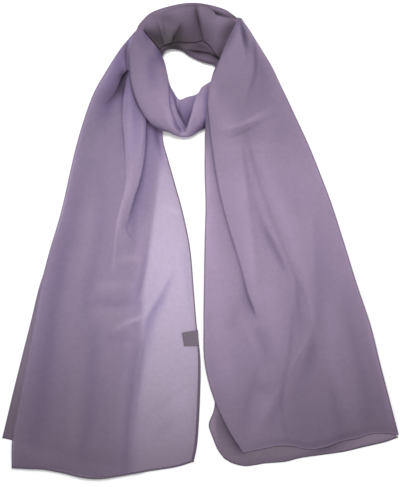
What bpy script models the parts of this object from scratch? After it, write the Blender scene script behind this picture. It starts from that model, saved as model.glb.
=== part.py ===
"""A long chiffon scarf, wound round an open neck and laid flat, in metres with +Z up.

The cloth is one long rectangle, folded lengthwise. Its left end runs up the left side, passes behind the
neck, comes round in front as a low loop, passes behind the neck again and comes down over everything as the
right end. The two ends are walls lying on each other. The gathered stretches round the neck are rounded
solids, layered at their edges.

X runs across the scarf, Y runs from the hems to the neck, and the origin is under the middle of the whole
scarf. All the tables below are in millimetres.
"""
import math

import bmesh
import bpy
import numpy as np

MM = 0.001
WALL = 1.2             # thickness of one layer of cloth
SEAM = 0.3             # clearance between pieces that lie on each other
EASE = 0.6             # clearance where a gathered stretch lies on folds
LEDGE = 2.4            # how far each layer at the edge of a gathered stretch stands out from the next
LEDGE_SHARE = 0.06     # the most of the stretch's width that one ledge takes
RISER = 0.08           # share of a ledge taken by the step up to the next
EDGE_LAYERS = 2        # ledges at each edge of a gathered stretch
PLY = WALL + SEAM      # rise from one flat layer to the next
FIRST_LAYER = WALL / 2          # middle of a layer that lies on the floor
SECOND_LAYER = PLY + WALL / 2   # middle of a layer that lies on another
NECK_REST = 9.8        # underside of the second pass behind the neck
HEM_DEPTH = 70.0       # how far up an end its curved hem is felt
SETTLE = (12.0, 24.0)  # distances past a lower layer's edge between which the upper one comes down
TABLE_STEPS = 24       # curve steps between two rows of a table
EDGE_STEPS = 60        # steps along the edge of the left end's lower layer

MAUVE = (0.235, 0.178, 0.279, 1.0)
MAUVE_SHADE = (0.150, 0.112, 0.176, 1.0)
LABEL_GREY = (0.125, 0.112, 0.130, 1.0)

# ---- outlines: one row for each cross section, from the neck to the hem ------------------------------

OUTLINE = ("left_x", "left_y", "right_x", "right_y")

LEFT_TAIL = [
    (-97, 302, -54, 163),
    (-101, 297, -55, 160),
    (-117, 276, -56, 155),
    (-139, 243, -54, 138),
    (-159, 206, -48, 118),
    (-181, 138, -38, 84),
    (-202, 44, -25, 37),
    (-219, -14, -15, -14),
    (-232, -65, -10, -72),
    (-240, -113, -6, -123),
    (-250, -171, 0, -174),
    (-261, -232, 0, -232),
    (-272, -287, -3, -290),
    (-274, -331, -9, -318),
]
LEFT_TAIL_UNDER = [
    (-121, 255, -74, 174),
    (-153, 206, -72, 131),
    (-177, 137, -74, 87),
    (-199, 44, -78, 37),
    (-216, -14, -84, -14),
    (-234, -65, -91, -72),
    (-247, -116, -95, -123),
    (-260, -166, -98, -174),
    (-276, -232, -102, -232),
    (-288, -284, -105, -327),
]
RIGHT_TAIL_UNDER = [
    (16, 131, 154, 131),
    (12, 95, 170, 95),
    (11, 51, 187, 51),
    (11, -7, 206, -7),
    (10, -65, 224, -65),
    (9, -123, 243, -123),
    (10, -177, 257, -177),
    (17, -214, 266, -214),
    (20, -234, 272, -234),
    (17, -249, 277, -248),
    (11, -266, 281, -261),
    (16, -285, 284, -273),
    (37, -319, 286, -285),
]

# The right end also states how high its middle rises over the gathered neck, at its edges and at its crest.
CRESTED = OUTLINE + ("left_z", "crest_z", "crest_at", "right_z")
RIGHT_TAIL = [
    (53, 322, 58, 321, 14.0, 15.0, 0.50, 13.0),
    (50, 313, 64, 314, 18.5, 20.2, 0.46, 13.5),
    (45, 302, 70, 306, 20.8, 23.8, 0.42, 14.0),
    (34, 279, 84, 283, 18.5, 25.2, 0.40, 10.0),
    (21, 251, 101, 253, 14.8, 25.0, 0.38, 6.0),
    (13, 232, 113, 229, 14.0, 24.0, 0.36, 4.0),
    (10, 203, 128, 199, 13.8, 21.0, 0.33, 2.1),
    (9, 171, 142, 170, 12.6, 16.0, 0.30, 2.1),
    (8, 138, 158, 135, 3.4, 6.0, 0.25, 2.1),
    (6, 95, 174, 95, 2.1, 2.4, 0.30, 2.1),
    (7, 51, 191, 51, 2.1, 2.1, 0.30, 2.1),
    (6, -7, 210, -7, 2.1, 2.1, 0.30, 2.1),
    (5, -65, 228, -65, 2.1, 2.1, 0.30, 2.1),
    (4, -123, 247, -123, 2.1, 2.1, 0.30, 2.1),
    (5, -177, 261, -177, 2.1, 2.1, 0.30, 2.1),
    (18, -227, 274, -229, 2.1, 2.1, 0.30, 2.1),
    (40, -275, 283, -266, 2.1, 2.1, 0.30, 2.1),
    (60, -317, 287, -282, 2.1, 2.1, 0.30, 2.1),
]

# A gathered stretch: its outer and inner edges, and the height of its top at the outer edge, at the crest
# and at the inner edge.
GATHERED = ("outer_x", "outer_y", "inner_x", "inner_y", "outer_z", "crest_z", "crest_at", "inner_z")
FRONT_LOOP = [
    (57, 203, 14, 228, 3.0, 10.5, 0.50, 4.0),
    (45, 187, 8, 224, 3.0, 11.0, 0.50, 4.0),
    (25, 171, 1, 219, 3.0, 11.0, 0.50, 4.0),
    (8, 163, -4, 211, 2.5, 11.2, 0.45, 4.0),
    (-2, 158, -11, 208, 2.5, 12.0, 0.40, 4.0),
    (-13, 151, -20, 206, 2.5, 10.0, 0.35, 4.0),
    (-24, 149, -29, 203, 3.0, 9.0, 0.30, 4.0),
    (-36, 151, -34, 205, 3.5, 13.0, 0.35, 5.0),
    (-46, 156, -39, 213, 5.0, 16.0, 0.42, 6.0),
    (-59, 162, -43, 222, 8.0, 19.0, 0.45, 8.0),
    (-74, 173, -46, 232, 11.0, 21.0, 0.45, 9.0),
    (-87, 193, -49, 244, 12.5, 22.5, 0.45, 10.0),
    (-97, 218, -52, 257, 13.0, 23.0, 0.45, 13.0),
    (-103, 247, -56, 267, 13.0, 23.0, 0.45, 14.0),
    (-104, 273, -62, 277, 13.0, 23.0, 0.45, 14.0),
    (-99, 292, -72, 290, 13.5, 22.0, 0.50, 14.5),
    (-91, 306, -83, 303, 14.5, 18.0, 0.50, 15.0),
]
NECK_OVER = [
    (-83, 305, -60, 278, 11.5, 14.0, 0.40, 11.8),
    (-77, 319, -54, 282, 11.5, 19.0, 0.28, 11.8),
    (-65, 327, -45, 286, 11.5, 22.0, 0.24, 11.8),
    (-47, 334, -33, 288, 11.5, 24.0, 0.22, 11.8),
    (-27, 340, -20, 287, 11.5, 25.0, 0.20, 12.0),
    (-7, 342, -7, 287, 11.5, 25.0, 0.20, 12.0),
    (8, 340, 5, 289, 11.5, 24.5, 0.20, 12.0),
    (18, 332, 14, 280, 11.5, 23.0, 0.20, 11.8),
    (31, 324, 24, 268, 11.5, 20.5, 0.30, 11.8),
    (49, 317, 38, 256, 11.2, 17.0, 0.42, 11.5),
    (63, 300, 53, 247, 11.0, 14.5, 0.50, 11.0),
]
NECK_UNDER = [
    (-86, 291, -59, 258, 3.0, 9.3, 0.50, 3.0),
    (-92, 306, -62, 270, 3.0, 9.3, 0.50, 3.0),
    (-86, 317, -52, 276, 3.0, 9.3, 0.50, 3.0),
    (-69, 330, -40, 278, 3.0, 9.3, 0.50, 3.0),
    (-36, 341, -27, 272, 3.0, 9.3, 0.50, 3.0),
    (-7, 345, -15, 267, 3.0, 9.3, 0.45, 3.0),
    (22, 340, 3, 259, 3.0, 9.3, 0.42, 3.0),
    (42, 331, 20, 252, 3.0, 9.3, 0.42, 3.0),
    (61, 311, 18, 243, 3.0, 9.3, 0.42, 3.0),
    (74, 269, 16, 236, 3.0, 9.3, 0.45, 3.0),
    (58, 208, 15, 232, 3.0, 9.3, 0.50, 3.0),
]

# ---- hems: how far each hangs below the straight line between its corners, across the end -------------

HEM = ("across", "drop")
LEFT_HEM = [
    (0, 0), (0.09, 4), (0.18, 6), (0.29, 13), (0.39, 20),
    (0.48, 23), (0.58, 21), (0.75, 15), (0.90, 9), (1, 0),
]
LEFT_UNDER_HEM = [(0, 0), (0.07, 1), (0.30, 1), (0.47, 6), (0.78, 9), (1, 0)]
UNDER_HEM_SAG = 9.0    # the most that the lower layer's hem hangs
RIGHT_HEM = [(0, 0), (0.13, 6), (0.28, 6), (0.37, 1), (0.44, -3), (0.63, -7), (0.82, -9), (1, 0)]
RIGHT_UNDER_HEM = [
    (0, 0), (0.05, 8), (0.12, 12), (0.24, 12), (0.35, 14),
    (0.45, 12), (0.67, 11), (0.80, 9), (0.92, 5), (1, 0),
]

# ---- folds: a row for each point of a fold's crest, with its height and how far it reaches on each side --

FOLD = ("x", "y", "height", "left_reach", "right_reach")
LEFT_FOLDS = {
    "rise_to_collar": [
        (-92, 300, 6.2, 22, 60),
        (-92, 270, 6.2, 22, 60),
        (-88, 240, 5.8, 20, 60),
        (-80, 200, 4.2, 18, 60),
        (-66, 168, 1.2, 12, 60),
        (-58, 150, 0.0, 10, 60),
    ],
    "shoulder": [
        (-116, 262, 2.6, 16, 14),
        (-128, 240, 3.2, 18, 12),
        (-142, 205, 2.0, 18, 14),
        (-152, 160, 0.0, 18, 14),
    ],
    "front_pleat": [
        (-94, 215, 1.0, 12, 10),
        (-97, 185, 4.6, 11, 11),
        (-98, 150, 4.6, 11, 10),
        (-99, 110, 3.6, 11, 11),
        (-104, 65, 2.6, 12, 11),
        (-112, 15, 1.4, 13, 12),
        (-118, -40, 0.0, 14, 12),
    ],
    "inner_pleat": [
        (-62, 150, 0.6, 8, 8),
        (-60, 118, 1.8, 9, 9),
        (-56, 75, 1.4, 11, 10),
        (-50, 30, 0.8, 12, 12),
        (-46, -20, 0.0, 14, 12),
    ],
}
RIGHT_FOLDS = {
    "front_edge": [
        (13, 165, 1.0, 3, 14),
        (14, 145, 3.2, 3, 16),
        (19, 109, 3.6, 3, 18),
        (31, 51, 3.2, 3, 18),
        (48, -21, 2.4, 4, 18),
        (67, -90, 1.2, 6, 18),
        (82, -125, 0.0, 10, 18),
    ],
    "shoulder_crease": [
        (31, 152, 0.0, 7, 7),
        (50, 159, 2.0, 7, 7),
        (76, 171, 2.2, 7, 7),
        (108, 188, 0.0, 7, 7),
    ],
}
FRONT_VALLEYS = {
    "collar_edge": [
        (-46, 214, 0.0, 4, 4),
        (-44, 193, -2.4, 3, 5),
        (-38, 170, -2.6, 3, 5),
        (-29, 157, -1.5, 3, 4),
    ],
    "front_v": [
        (-14, 204, -1.5, 9, 7),
        (-20, 185, -3.0, 7, 5),
        (-21, 166, -2.5, 3, 3),
        (-22, 157, -1.0, 2, 2),
    ],
}
NECK_VALLEYS = {
    "middle": [(-5, 338, -1.0, 5, 5), (-4, 319, -4.5, 7, 4), (-3, 292, -1.0, 6, 4)],
    "near_collar": [(-64, 318, 0.0, 6, 6), (-62, 302, -2.5, 6, 6), (-60, 288, -1.0, 5, 5)],
    "near_right_tail": [(20, 335, -3.0, 6, 4), (34, 318, -1.5, 5, 4), (40, 300, 0.0, 5, 5)],
}

# The line under the collar where the left end stops, and the gathered stretch goes down to the floor.
TAIL_END = [(-83, 320), (-80, 290), (-72, 250), (-62, 225), (-50, 163), (-45, 131)]
TAIL_END_SLOPE = (2.0, 12.0)    # distance past that line over which the loop's underside comes down
LOOP_RISES_X = (-20.0, -40.0)   # where the loop's underside leaves the floor, going left
NECK_LIFT_Y = (240.0, 252.0)    # where the collar starts to ride on the first pass behind the neck

# The label's corners: upper left, upper right, lower right, lower left.
LABEL_CORNERS = ((-26, -133), (-5, -129), (-4, -152), (-23, -153))
LABEL_THICKNESS = 1.0

# Rows along and columns across each solid.
GRID = {
    "left_tail": (40, 24),
    "left_tail_under": (20, 6),
    "right_tail": (40, 18),
    "right_tail_under": (20, 7),
    "front_loop": (38, 15),
    "neck_over": (26, 15),
    "neck_under": (24, 9),
    "label": (4, 4),
}


def columns(names, table):
    """The table's columns by name."""
    return dict(zip(names, np.array(table, float).T))


def smooth_rows(table, count):
    """Rows on a smooth curve through the table's rows, evenly spaced along the middle of the stretch."""
    rows = np.array(table, float)
    padded = np.vstack([2 * rows[0] - rows[1], rows, 2 * rows[-1] - rows[-2]])
    fine = []
    for i in range(len(rows) - 1):
        before, start, end, after = padded[i:i + 4]
        for t in np.linspace(0, 1, TABLE_STEPS, endpoint=False):
            fine.append(0.5 * (2 * start + (end - before) * t
                               + (2 * before - 5 * start + 4 * end - after) * t ** 2
                               + (3 * start - before - 3 * end + after) * t ** 3))
    fine.append(rows[-1])
    fine = np.array(fine)
    middle = (fine[:, 0:2] + fine[:, 2:4]) / 2
    run = np.concatenate([[0], np.cumsum(np.linalg.norm(np.diff(middle, axis=0), axis=1))])
    places = np.linspace(0, run[-1], count)
    return np.stack([np.interp(places, run, column) for column in fine.T], axis=1)


def smoothstep(value, start, end):
    share = np.clip((value - start) / (end - start), 0, 1)
    return share * share * (3 - 2 * share)


def fold_height(x, y, table):
    """Height that one fold adds at the places x, y: a soft ridge, or a valley where it is negative."""
    line = columns(FOLD, smooth_points(table))
    across = x[..., None] - line["x"]
    along = y[..., None] - line["y"]
    nearest = np.argmin(across ** 2 + along ** 2, axis=-1)
    heading_x = np.gradient(line["x"])[nearest]
    heading_y = np.gradient(line["y"])[nearest]
    away_x = x - line["x"][nearest]
    away_y = y - line["y"][nearest]
    on_left = heading_x * away_y - heading_y * away_x < 0
    downhill = line["y"][0] > line["y"][-1]
    left_side = on_left if downhill else ~on_left
    reach = np.where(left_side, line["left_reach"][nearest], line["right_reach"][nearest])
    return line["height"][nearest] * np.exp(-(away_x ** 2 + away_y ** 2) / reach ** 2)


def smooth_points(table):
    """Many points along the smooth curve through a fold's rows."""
    rows = np.array(table, float)
    places = np.linspace(0, len(rows) - 1, TABLE_STEPS * (len(rows) - 1) + 1)
    return np.stack([np.interp(places, range(len(rows)), column) for column in rows.T], axis=1)


def all_folds(x, y, folds):
    return sum(fold_height(x, y, table) for table in folds.values())


def plan(names, table, grid, across):
    """The places of a solid's rows and columns in plan, and its table's columns at each row."""
    rows = columns(names, smooth_rows(table, grid[0]))
    first_x, first_y, last_x, last_y = (rows[name][:, None] for name in names[:4])
    return first_x + (last_x - first_x) * across, first_y + (last_y - first_y) * across, rows


def hang_hem(y, across, hem):
    """Lets the lower rows hang to the curve of the hem."""
    curve = columns(HEM, hem)
    drop = np.interp(across, curve["across"], curve["drop"])
    from_hem = y - y[-1]
    return y - drop * (1 - smoothstep(from_hem, 0, HEM_DEPTH))


def left_tail_middle(x, y):
    """Height of the middle of the left end's upper layer, on the lower layer or on the floor beside it."""
    edge = columns(OUTLINE, smooth_rows(LEFT_TAIL_UNDER, EDGE_STEPS))
    edge_x = np.interp(-y, -edge["right_y"], edge["right_x"])
    past_edge = smoothstep(x - edge_x, *SETTLE)
    corner_x, corner_y = edge["left_x"][-1], edge["left_y"][-1]
    hem_slope = (edge["right_y"][-1] - corner_y) / (edge["right_x"][-1] - corner_x)
    hem_y = corner_y + hem_slope * (x - corner_x)
    past_hem = smoothstep(hem_y - UNDER_HEM_SAG - y, *SETTLE)
    settled = np.maximum(past_edge, past_hem)
    flat = SECOND_LAYER + (FIRST_LAYER - SECOND_LAYER) * settled
    return flat + all_folds(x, y, LEFT_FOLDS)


def crest_profile(across, rows, first_z, last_z):
    """A rounded rise from each edge to the crest, across every row."""
    at = rows["crest_at"][:, None]
    top = rows["crest_z"][:, None]
    first = first_z[:, None]
    last = last_z[:, None]
    rising = np.sqrt(np.clip(1 - (1 - np.minimum(across / at, 1)) ** 2, 0, 1))
    falling = np.cos(math.pi / 2 * np.clip((across - at) / (1 - at), 0, 1))
    return np.where(across < at, first + (top - first) * rising, last + (top - last) * falling)


def gathered_columns(rows, count):
    """How far across each column lies, with a column at the start and end of every ledge."""
    width = np.hypot(rows["inner_x"] - rows["outer_x"], rows["inner_y"] - rows["outer_y"])
    ledge = np.minimum(LEDGE / width, LEDGE_SHARE)[:, None]
    ends = [end for step in range(EDGE_LAYERS) for end in (step, step + 1 - RISER)]
    steps = np.array(ends)[None, :] * ledge
    inside = EDGE_LAYERS * ledge
    between = inside + (1 - 2 * inside) * crowded_at_edges(count)
    return np.hstack([steps, between, 1 - steps[:, ::-1]]), ledge


def gathered_top(across, ledge, rows):
    """Top of a gathered stretch: a ledge for each layer at its edges, and a rounded rise between."""
    layers = np.minimum(across, 1 - across) / ledge
    step = np.floor(layers + RISER / 2)
    inside = EDGE_LAYERS * ledge
    edge_z = np.where(across < 0.5, rows["outer_z"][:, None], rows["inner_z"][:, None])
    between = np.clip((across - inside) / (1 - 2 * inside), 0, 1)
    rise = EDGE_LAYERS * PLY
    rounded = crest_profile(between, rows, rows["outer_z"] + rise, rows["inner_z"] + rise)
    return np.where(step < EDGE_LAYERS, edge_z + PLY * step, rounded)


def closed_solid(name, x, y, bottom, top, material):
    """One closed body between two surfaces over the same rows and columns."""
    rows, cols = x.shape
    mesh = bpy.data.meshes.new(name)
    body = bmesh.new()
    layers = []
    for height in (bottom, top):
        places = np.stack([x, y, height], axis=-1) * MM
        layers.append([[body.verts.new(place) for place in row] for row in places])
    low, high = layers
    for r in range(rows - 1):
        for c in range(cols - 1):
            for layer in layers:
                body.faces.new((layer[r][c], layer[r + 1][c], layer[r + 1][c + 1]))
                body.faces.new((layer[r][c], layer[r + 1][c + 1], layer[r][c + 1]))
    rim = [(0, c) for c in range(cols)] + [(r, cols - 1) for r in range(1, rows)]
    rim += [(rows - 1, c) for c in range(cols - 2, -1, -1)] + [(r, 0) for r in range(rows - 2, 0, -1)]
    for (r0, c0), (r1, c1) in zip(rim, rim[1:] + rim[:1]):
        body.faces.new((low[r0][c0], low[r1][c1], high[r1][c1], high[r0][c0]))
    bmesh.ops.recalc_face_normals(body, faces=body.faces)
    bmesh.ops.triangulate(body, faces=[face for face in body.faces if len(face.verts) > 3])
    body.to_mesh(mesh)
    body.free()
    mesh.shade_smooth()
    mesh.materials.append(material)
    piece = bpy.data.objects.new(name, mesh)
    bpy.context.scene.collection.objects.link(piece)
    return piece


def even(count):
    return np.linspace(0, 1, count)[None, :]


def crowded_at_edges(count):
    return (1 - np.cos(math.pi * even(count))) / 2


def cloth(name, colour, roughness):
    material = bpy.data.materials.new(name)
    material.use_nodes = True
    shader = material.node_tree.nodes["Principled BSDF"]
    shader.inputs["Base Color"].default_value = colour
    shader.inputs["Roughness"].default_value = roughness
    shader.inputs["Metallic"].default_value = 0.0
    return material


def make_left_tail(material):
    across = even(GRID["left_tail"][1])
    x, y, _ = plan(OUTLINE, LEFT_TAIL, GRID["left_tail"], across)
    y = hang_hem(y, across, LEFT_HEM)
    middle = left_tail_middle(x, y)
    return closed_solid("left_tail", x, y, middle - WALL / 2, middle + WALL / 2, material)


def make_under_layer(name, table, hem, material):
    across = even(GRID[name][1])
    x, y, _ = plan(OUTLINE, table, GRID[name], across)
    y = hang_hem(y, across, hem)
    return closed_solid(name, x, y, 0 * x, 0 * x + WALL, material)


def make_right_tail(material):
    across = even(GRID["right_tail"][1])
    x, y, rows = plan(CRESTED, RIGHT_TAIL, GRID["right_tail"], across)
    y = hang_hem(y, across, RIGHT_HEM)
    crested = crest_profile(across, rows, rows["left_z"], rows["right_z"])
    middle = np.maximum(crested, SECOND_LAYER) + all_folds(x, y, RIGHT_FOLDS)
    return closed_solid("right_tail", x, y, middle - WALL / 2, middle + WALL / 2, material)


def gathered(name, table):
    """Places and top of a gathered stretch."""
    rows = columns(GATHERED, smooth_rows(table, GRID[name][0]))
    across, ledge = gathered_columns(rows, GRID[name][1])
    x = rows["outer_x"][:, None] * (1 - across) + rows["inner_x"][:, None] * across
    y = rows["outer_y"][:, None] * (1 - across) + rows["inner_y"][:, None] * across
    return x, y, gathered_top(across, ledge, rows)


def make_front_loop(material):
    x, y, top = gathered("front_loop", FRONT_LOOP)
    end_x = np.interp(-y, [-point[1] for point in TAIL_END], [point[0] for point in TAIL_END])
    over_tail = 1 - smoothstep(x - end_x, *TAIL_END_SLOPE)
    over_neck = smoothstep(y, *NECK_LIFT_Y)
    tail_top = left_tail_middle(x, y) + WALL / 2 + EASE
    bottom = np.maximum(over_tail * tail_top, over_neck * (NECK_REST + SEAM))
    bottom = bottom * smoothstep(x, *LOOP_RISES_X)
    top = top + all_folds(x, y, FRONT_VALLEYS)
    return closed_solid("front_loop", x, y, bottom, np.maximum(top, bottom + WALL), material)


def make_neck_over(material):
    x, y, top = gathered("neck_over", NECK_OVER)
    top = top + all_folds(x, y, NECK_VALLEYS)
    return closed_solid("neck_over", x, y, 0 * x + NECK_REST, np.maximum(top, NECK_REST + WALL), material)


def make_neck_under(material):
    x, y, top = gathered("neck_under", NECK_UNDER)
    return closed_solid("neck_under", x, y, 0 * x, top, material)


def make_label(material):
    """The label's points are the left end's own surface, moved out."""
    upper_left, upper_right, lower_right, lower_left = (np.array(corner, float) for corner in LABEL_CORNERS)
    down = even(GRID["label"][0]).T[..., None]
    across = even(GRID["label"][1])[..., None]
    points = ((upper_left * (1 - across) + upper_right * across) * (1 - down)
              + (lower_left * (1 - across) + lower_right * across) * down)
    x, y = points[..., 0], points[..., 1]
    underside = left_tail_middle(x, y) + WALL / 2 + SEAM
    return closed_solid("label", x, y, underside, underside + LABEL_THICKNESS, material)


def build():
    for old in list(bpy.data.objects):
        bpy.data.objects.remove(old, do_unlink=True)
    chiffon = cloth("chiffon", MAUVE, 0.8)
    shaded = cloth("chiffon_inside", MAUVE_SHADE, 0.85)
    tab = cloth("label_weave", LABEL_GREY, 0.7)
    make_left_tail(chiffon)
    make_under_layer("left_tail_under", LEFT_TAIL_UNDER, LEFT_UNDER_HEM, chiffon)
    make_right_tail(chiffon)
    make_under_layer("right_tail_under", RIGHT_TAIL_UNDER, RIGHT_UNDER_HEM, chiffon)
    make_front_loop(chiffon)
    make_neck_over(shaded)
    make_neck_under(shaded)
    make_label(tab)


build()
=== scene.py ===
"""Dresses the chiffon scarf in its sheer cloth, and adds the floor, the light and the camera.

The scarf is plain mauve crepe chiffon, folded lengthwise, wound once and a half round an open neck and laid
flat. Each stretch of it that shows is one sheet on the form of its CAD solid, finer and with its own folds.
The two ends are see-through, and get darker where more layers of cloth lie on each other. The hems are
rolled, and a blank tab is sewn on. Light and shade are also painted into the cloth's colour: shade in its
folds, hollows and gathered neck and towards its hems, and highlights along some folds and edges.

Tables are in millimetres, with X across the scarf, Y towards the neck and Z up. Their columns are named
beside them. Tones, shades and covers are factors.
"""

import math

import bpy
import numpy as np
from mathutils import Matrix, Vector


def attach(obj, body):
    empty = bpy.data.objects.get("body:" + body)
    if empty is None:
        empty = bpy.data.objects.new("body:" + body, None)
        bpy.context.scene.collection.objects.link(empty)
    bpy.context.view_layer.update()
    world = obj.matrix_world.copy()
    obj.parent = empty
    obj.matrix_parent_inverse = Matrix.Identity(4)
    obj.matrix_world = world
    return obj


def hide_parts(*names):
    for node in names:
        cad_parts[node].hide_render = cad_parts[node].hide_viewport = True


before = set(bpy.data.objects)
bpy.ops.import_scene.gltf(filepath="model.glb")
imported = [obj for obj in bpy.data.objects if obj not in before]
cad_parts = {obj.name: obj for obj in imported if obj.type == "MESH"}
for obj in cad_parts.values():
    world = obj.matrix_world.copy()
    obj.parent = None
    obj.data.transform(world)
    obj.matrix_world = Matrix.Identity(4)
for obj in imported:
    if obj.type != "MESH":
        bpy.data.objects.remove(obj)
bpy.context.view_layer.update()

MM = 0.001
HEM_FLOOR = 0.05        # the least height of a hem
SHEET_FLOOR = 0.3       # the least height of a lower layer, and of the foot of a gathered edge
UNDER_LAYER = 0.5       # height of the layers under both ends
FIRST_LAYER = 0.6       # height of an upper layer where it lies on the floor
MIDDLE_LAYER = 1.3      # height of the layer between two others
SECOND_LAYER = 2.1      # height of an upper layer that lies on another
NECK_REST = 9.8         # underside of the second pass behind the neck
LOOP_DEPTH = 6.0        # from the loop's top down to its foot
LOOP_FOOT = 11.0        # the most height of the loop's foot
PLY = 1.5               # rise from one gathered layer to the next
LEDGE = 2.0             # how far each layer at the edge of a gathered stretch stands out from the next
LEDGE_SHARE = 0.05      # the most of the stretch's width that one ledge takes
LEDGE_ROUND = 0.35      # share of a ledge taken by its rounded step
EDGE_LAYERS = 2         # ledges at each edge of the first pass behind the neck
SKIRT_INSET = 0.9       # how far the foot of a gathered edge is drawn in
SKIRT_STEPS = 5
# The carried-down edge of a sheet is painted with shade: it keeps this share of the tone above it.
SKIRT_TONE = 0.75
HEM_DEPTH = 70.0        # how far up an end its curved hem is felt
HEM_INSET = 1.0         # distance of a rolled hem's middle from the edge of the cloth
STITCH_SPACING = 3.0    # from one stitch to the next along a hem
STITCH_DEPTH = 0.2      # share of a hem's thickness that a stitch pulls in
STITCH_SHARPNESS = 6
TUBE_SIDES = 8
LINE_STEP = 1.0         # spacing of the points that stand for a fold's line or a hem
TABLE_STEPS = 24        # curve steps between two rows of a table
EDGE_STEPS = 60         # steps along the edge of the layer that the left end settles from
SETTLE = (3.0, 16.0)    # distances past that edge between which the left end comes down
PLEAT_EDGE = 2.6        # width of the rounded edge of a pleat
FELT_REACHES = 3        # a fold isn't felt farther than this many reaches from its line
RIPPLE_SEED = 11
RIPPLE_WAVES = 9
WAVE_LENGTHS = (26, 90)
UNDER_WAVE_LENGTHS = (30, 90)

# ---- outlines: one row for each cross section, from the neck to the hem ------------------------------

OUTLINE = ("left_x", "left_y", "right_x", "right_y")

LEFT_TAIL = [
    (-94.5, 303.4, -54, 163), (-100.2, 297, -55, 160), (-117.2, 276.5, -56, 155), (-138.6, 243, -53.6, 138),
    (-158.5, 206, -47.7, 118), (-180.4, 138, -37.9, 84), (-202, 44, -25, 37), (-219, -14, -15, -14),
    (-232, -65, -10, -72), (-241, -113, -5.8, -123), (-252, -171, -0.3, -174), (-263.5, -232, -1.1, -232),
    (-273.2, -287, -4.6, -290), (-274.3, -331, -10.2, -319),
]
LEFT_TAIL_SECOND = [
    (-118, 252, -60, 160), (-151, 206, -57, 131), (-177, 137, -58, 87), (-199, 44, -64, 37),
    (-217, -14, -70, -14), (-230, -65, -78, -72), (-238, -113, -79.5, -118), (-248, -171, -78, -174),
    (-259, -232, -85, -232), (-270, -287, -92, -290), (-272, -329, -93, -335),
]
LEFT_TAIL_UNDER = [
    (-121, 255, -76, 174), (-153, 206, -75, 131), (-177, 137, -78, 87), (-199, 44, -86, 37),
    (-216, -14, -91, -14), (-233.5, -65, -97, -72), (-246, -116, -103, -123), (-258.6, -166, -108, -174),
    (-275, -232, -112, -232), (-288, -284, -116, -325),
]
RIGHT_TAIL_UNDER = [
    (16, 131, 154, 131), (12, 95, 170, 95), (11, 51, 187, 51), (11, -7, 206, -7), (10, -65, 224, -65),
    (9, -123, 243, -123), (10, -177, 257, -177), (17, -214, 266, -214), (20, -234, 272, -234),
    (18, -249, 277, -248), (11.5, -267, 281, -261), (17, -285.5, 284, -273), (24.4, -303, 285, -280),
    (33.8, -315.6, 286, -285),
]

# The right end also states how high it stands over the gathered neck at its edges and its crest, and how
# far across the crest lies.
CRESTED = OUTLINE + ("left_z", "crest_z", "crest_at", "right_z")
RIGHT_TAIL = [
    (53, 323, 58.5, 322, 14, 15, 0.5, 13), (50, 313, 64, 314, 18.5, 20.2, 0.46, 13.5),
    (45, 302, 69.6, 306, 20.8, 23.8, 0.42, 14), (34, 279, 84, 283, 18.5, 25.2, 0.4, 10),
    (23.2, 251, 102.1, 253.6, 14.8, 25, 0.38, 6), (14.8, 232, 113.8, 229.4, 14, 24, 0.36, 4),
    (10, 203, 128.4, 199.2, 13.8, 21, 0.33, 2.1), (6.9, 171, 142, 170, 12.6, 16, 0.3, 2.1),
    (5.7, 138, 158, 135, 3.4, 6, 0.25, 2.1), (5.6, 95, 174, 95, 2.1, 2.4, 0.3, 2.1),
    (6.9, 51, 190.5, 51, 2.1, 2.1, 0.3, 2.1), (5.4, -7, 209.1, -7, 2.1, 2.1, 0.3, 2.1),
    (4.5, -65, 227.1, -65, 2.1, 2.1, 0.3, 2.1), (3.9, -123, 246.5, -123, 2.1, 2.1, 0.3, 2.1),
    (5.4, -177, 260, -177, 2.1, 2.1, 0.3, 2.1), (18, -227, 273.4, -229, 2.1, 2.1, 0.3, 2.1),
    (40, -275, 283, -266, 2.1, 2.1, 0.3, 2.1), (61, -308, 287, -282, 2.1, 2.1, 0.3, 2.1),
]

# A gathered stretch: its outer and inner edges, the height of its top at the outer edge, the crest and the
# inner edge, and how far across the crest lies.
GATHERED = ("outer_x", "outer_y", "inner_x", "inner_y", "outer_z", "crest_z", "crest_at", "inner_z")
FRONT_LOOP = [
    (57, 203, 14, 230, 3, 10.5, 0.5, 4), (45, 187, 8, 226.2, 3, 11, 0.5, 4),
    (25, 171, 1, 221.2, 3, 11, 0.5, 4), (8, 163, -4, 213, 3, 11, 0.45, 4),
    (-2, 158, -11, 209.8, 3.5, 11, 0.4, 4), (-13, 151, -20, 207.6, 3.5, 9.5, 0.3, 4),
    (-24, 149, -29, 203.9, 4, 8.5, 0.24, 4), (-36, 151.6, -33.3, 205.6, 4.5, 12, 0.35, 5),
    (-46.3, 156.4, -38.3, 213.2, 5.5, 15.5, 0.42, 6), (-60, 160.6, -43.4, 222, 8, 19, 0.45, 8),
    (-75, 172, -46.5, 232, 11, 21, 0.45, 9), (-88.3, 192, -49, 244, 12.5, 22.5, 0.45, 10),
    (-98.2, 217.6, -52, 257, 13, 23, 0.45, 13), (-103.8, 247, -56, 267, 13, 23, 0.45, 14),
    (-104.8, 273, -62, 277, 13, 23, 0.45, 14), (-99, 292, -72, 290, 13.5, 22, 0.5, 14.5),
    (-92.2, 307, -83, 303, 14.5, 18, 0.5, 15),
]
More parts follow.
